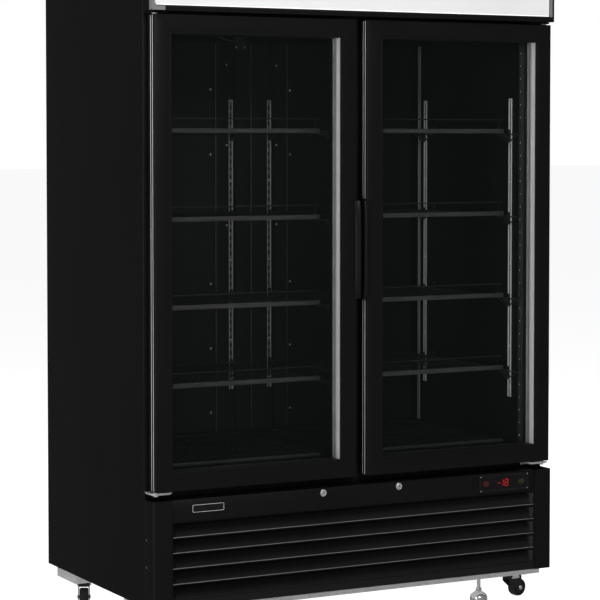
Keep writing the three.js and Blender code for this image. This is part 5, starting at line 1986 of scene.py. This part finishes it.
@dataclass
class Machine:
    """Compressor, condenser with its fan, pipes, drier and electrical box."""

    fins: int = 90
    fan_hub: float = 28.0
    blades: int = 6
    foot_x: float = 88.0
    foot_y: float = 58.0
    gland_x: float = -630.0
    gland_z: float = 150.0
    pan_low: tuple[float, float] = (-540.0, -40.0)
    pan_high: tuple[float, float] = (-80.0, 230.0)
    box_low: tuple[float, float] = (500.0, 40.0)
    box_high: tuple[float, float] = (610.0, 180.0)

    def compressor(self) -> None:
        """Turns the pot from its profile and adds the seam, feet, stubs and terminal cover."""
        box = Extent.of("compressor")
        x, y = (box.low[0] + box.high[0]) / 2, (box.low[1] + box.high[1]) / 2
        z0 = box.low[2]
        profile = [
            (50, 22), (64, 24), (74, 32), (80, 46), (82, 64), (82, 106), (84, 108), (87, 109), (87, 115),
            (84, 116), (82, 118), (81, 140), (77, 160), (68, 178), (52, 191), (30, 198), (8, 200),
        ]
        pot = lathe(profile, (x, y, z0), Axis.Z, 56)
        plate = prism(rectangle(x - 104, y - 74, x + 104, y + 74, 22, 6), z0 + 12, z0 + 15, Axis.Z)
        seats = [(x + u * self.foot_x, y + v * self.foot_y, z0) for u in (-1, 1) for v in (-1, 1)]
        feet = [lathe([(14, 0), (15, 3), (12, 6), (15, 9), (14, 12)], seat, Axis.Z, 20) for seat in seats]
        bolts = [lathe([(6, 15), (6, 20), (5, 21)], seat, Axis.Z, 6) for seat in seats]
        cover = block((x - 30, y - 112, z0 + 66), (x + 30, y - 76, z0 + 128), 5.0, 4)
        way = [(x - 60, y + 40, z0 + 60), (x - 96, y + 66, z0 + 60), (x - 96, y + 66, z0 + 150)]
        stub = tube(rounded(way, [0, 18, 0], 6, closed=False), 5.0, 12)
        unit = Piece("compressor_shell", "cabinet", "cast_black").add(CAST, pot, plate).add(SEAL, *feet)
        unit.add(ZINC, *bolts).add(TRIM_BLACK, cover).add(COPPER, stub).done("compressor")

    def condenser(self) -> None:
        """Builds the condenser: fins, shroud with a round mouth, motor and its bracket."""
        box, fan = Extent.of("condenser"), Extent.of("condenser_fan")
        (x0, y0, z0), (x1, _, z1) = box.low, box.high
        x, z = (fan.low[0] + fan.high[0]) / 2, (fan.low[2] + fan.high[2]) / 2
        radius = (fan.high[0] - fan.low[0]) / 2 + 7
        y_back = y0 + 132
        fins = [
            block((fx - 0.2, y0, z0 + 6), (fx + 0.2, y0 + 70, z1 - 6), 0.1, 1)
            for fx in np.linspace(x0 + 14, x1 - 14, self.fins)
        ]
        core = block((x0 + 12, y0 + 6, z0 + 10), (x1 - 12, y0 + 66, z1 - 10), 1.0)
        rows = np.linspace(z0 + 30, z1 - 30, 8)
        pipes = []
        for k, level in enumerate(rows[:-1]):
            end, out = (x1 - 10, 1) if k % 2 == 0 else (x0 + 10, -1)
            bend = rounded([(end, y0 + 35, level), (end + out * 9, y0 + 35, level),
                            (end + out * 9, y0 + 35, rows[k + 1]), (end, y0 + 35, rows[k + 1])],
                           [0, 8, 8, 0], 5, closed=False)
            pipes.append(tube(bend, 4.5, 10))
        square = rectangle(x0, z0, x1, z1, 3.0, 15)
        turn = np.arctan2(square[:, 1] - z, square[:, 0] - x)
        hole = np.stack([x + radius * np.cos(turn), z + radius * np.sin(turn)], axis=-1)
        shroud = framed(square, hole, [
            (0, y0 + 72), (0, y_back - 2), (0.03, y_back), (0.97, y_back), (1, y_back - 1), (1, y_back - 9),
            (0.94, y_back - 9), (0.94, y_back - 2.2), (0.05, y_back - 2.2), (0.05, y0 + 72),
        ])
        sides = [block((a, y0, z0), (b, y0 + 74, z1), 0.6) for a, b in ((x0, x0 + 2), (x1 - 2, x1))]
        motor = lathe([
            (20, 8), (32, 10), (34, 14), (34, 56), (32, 60), (22, 64), (8, 66),
        ], (x, y_back, z), Axis.Y, 36)
        arms = []
        for degrees in (90, 210, 330):
            u, v = math.cos(math.radians(degrees)), math.sin(math.radians(degrees))
            ends = [(x + u * r, y_back + dy, z + v * r) for r, dy in ((26, 30), (126, 30), (126, -1))]
            arms.append(tube(rounded(ends, [0, 10, 0], 5, closed=False), 2.6, 8))
        unit = Piece("condenser_block", "cabinet", "fin_metal").add(FINS, *fins).add(CAST, core)
        unit.add(STEEL, shroud, *sides).add(CAST, motor).add(WIRE, *arms).add(COPPER, *pipes)
        unit.done("condenser")
        guard = FanGuard((x, y_back + 3.4, z), radius, Axis.Y, rings=7)
        Piece("condenser_guard", "cabinet", "wire_black").add(WIRE, *guard.surfaces()).done()
        centre = (x, (fan.low[1] + fan.high[1]) / 2, z)
        rotor = fan_rotor(radius - 7.5, self.fan_hub, fan.high[1] - fan.low[1], self.blades)
        Piece("condenser_rotor", "condenser_fan", "black_plastic").add(
            FAN_PLASTIC, *[tipped(s).moved(*centre) for s in rotor]).done("condenser_fan")

    def services(self) -> None:
        """Runs the pipes and adds the drier, the electrical box, the evaporating pan and the gland."""
        comp, right = Extent.of("compressor"), Extent.of("condenser").high[0]
        z = comp.low[2]
        x = (comp.low[0] + comp.high[0]) / 2
        runs = [
            [(x - 40, 150, z + 80), (x - 150, 160, z + 80), (x - 150, -80, z + 200),
             (right + 12, -210, z + 200), (right - 4, -228, z + 200)],
            [(right - 4, -250, z + 40), (right + 40, -250, z + 40), (right + 40, 60, z + 40),
             (right + 40, 180, z + 40)],
        ]
        pipes = [tube(rounded(run, 26.0, 6, closed=False), 4.0, 12) for run in runs]
        pipes.append(tube([(x - 96, 186, z + rise) for rise in (148, 227, 306)], 4.0, 12))
        drier = lathe([(4, -46), (12, -36), (13, -32), (13, 32), (12, 36), (4, 46)],
                      (right + 40, 20, z + 40), Axis.Y, 24)
        (x0, y0), (x1, y1) = self.box_low, self.box_high
        box = block((x0, y0, z + 60), (x1, y1, z + 230), 6.0, 4)
        lid = block((x0 - 3, y0 - 3, z + 190), (x1 + 3, y1 + 3, z + 200), 3.0, 2)
        (x0, y0), (x1, y1) = self.pan_low, self.pan_high
        pan = [block((x0, y0, z + 0.4), (x1, y1, z + 8), 3.0)]
        pan += [block((x0, y, z + 4), (x1, y + 3, z + 44), 1.2) for y in (y0, y1 - 3)]
        pan += [block((a, y0, z + 4), (a + 3, y1, z + 44), 1.2) for a in (x0, x1 - 3)]
        unit = Piece("machine_services", "cabinet", "galvanised_steel").add(COPPER, *pipes, drier)
        unit.add(TRIM_BLACK, box, lid, *pan).done()
        gland = lathe([(5.5, -2), (12, -2), (12, 4), (10, 6.5), (7, 8), (5.5, 8.2)],
                      (self.gland_x, BACK - 2, self.gland_z), Axis.Y, 24)
        Piece("cable_gland", "cabinet", "black_plastic").add(TRIM_BLACK, gland).done()

    def build(self) -> None:
        """Builds the machine compartment."""
        self.compressor()
        self.condenser()
        self.services()


PARTS = (
    Casing, Canopy, Interior, WireShelf, Doors, Hinges,
    Plinth, Controller, Locks, Underside, ColdSide, Machine,
)


def main() -> None:
    """Builds the studio and every sub-assembly, in order."""
    logging.basicConfig(level=logging.INFO, format="%(name)s %(message)s")
    Studio().build()
    for part in PARTS:
        part().build()


if __name__ == "__main__":
    main()
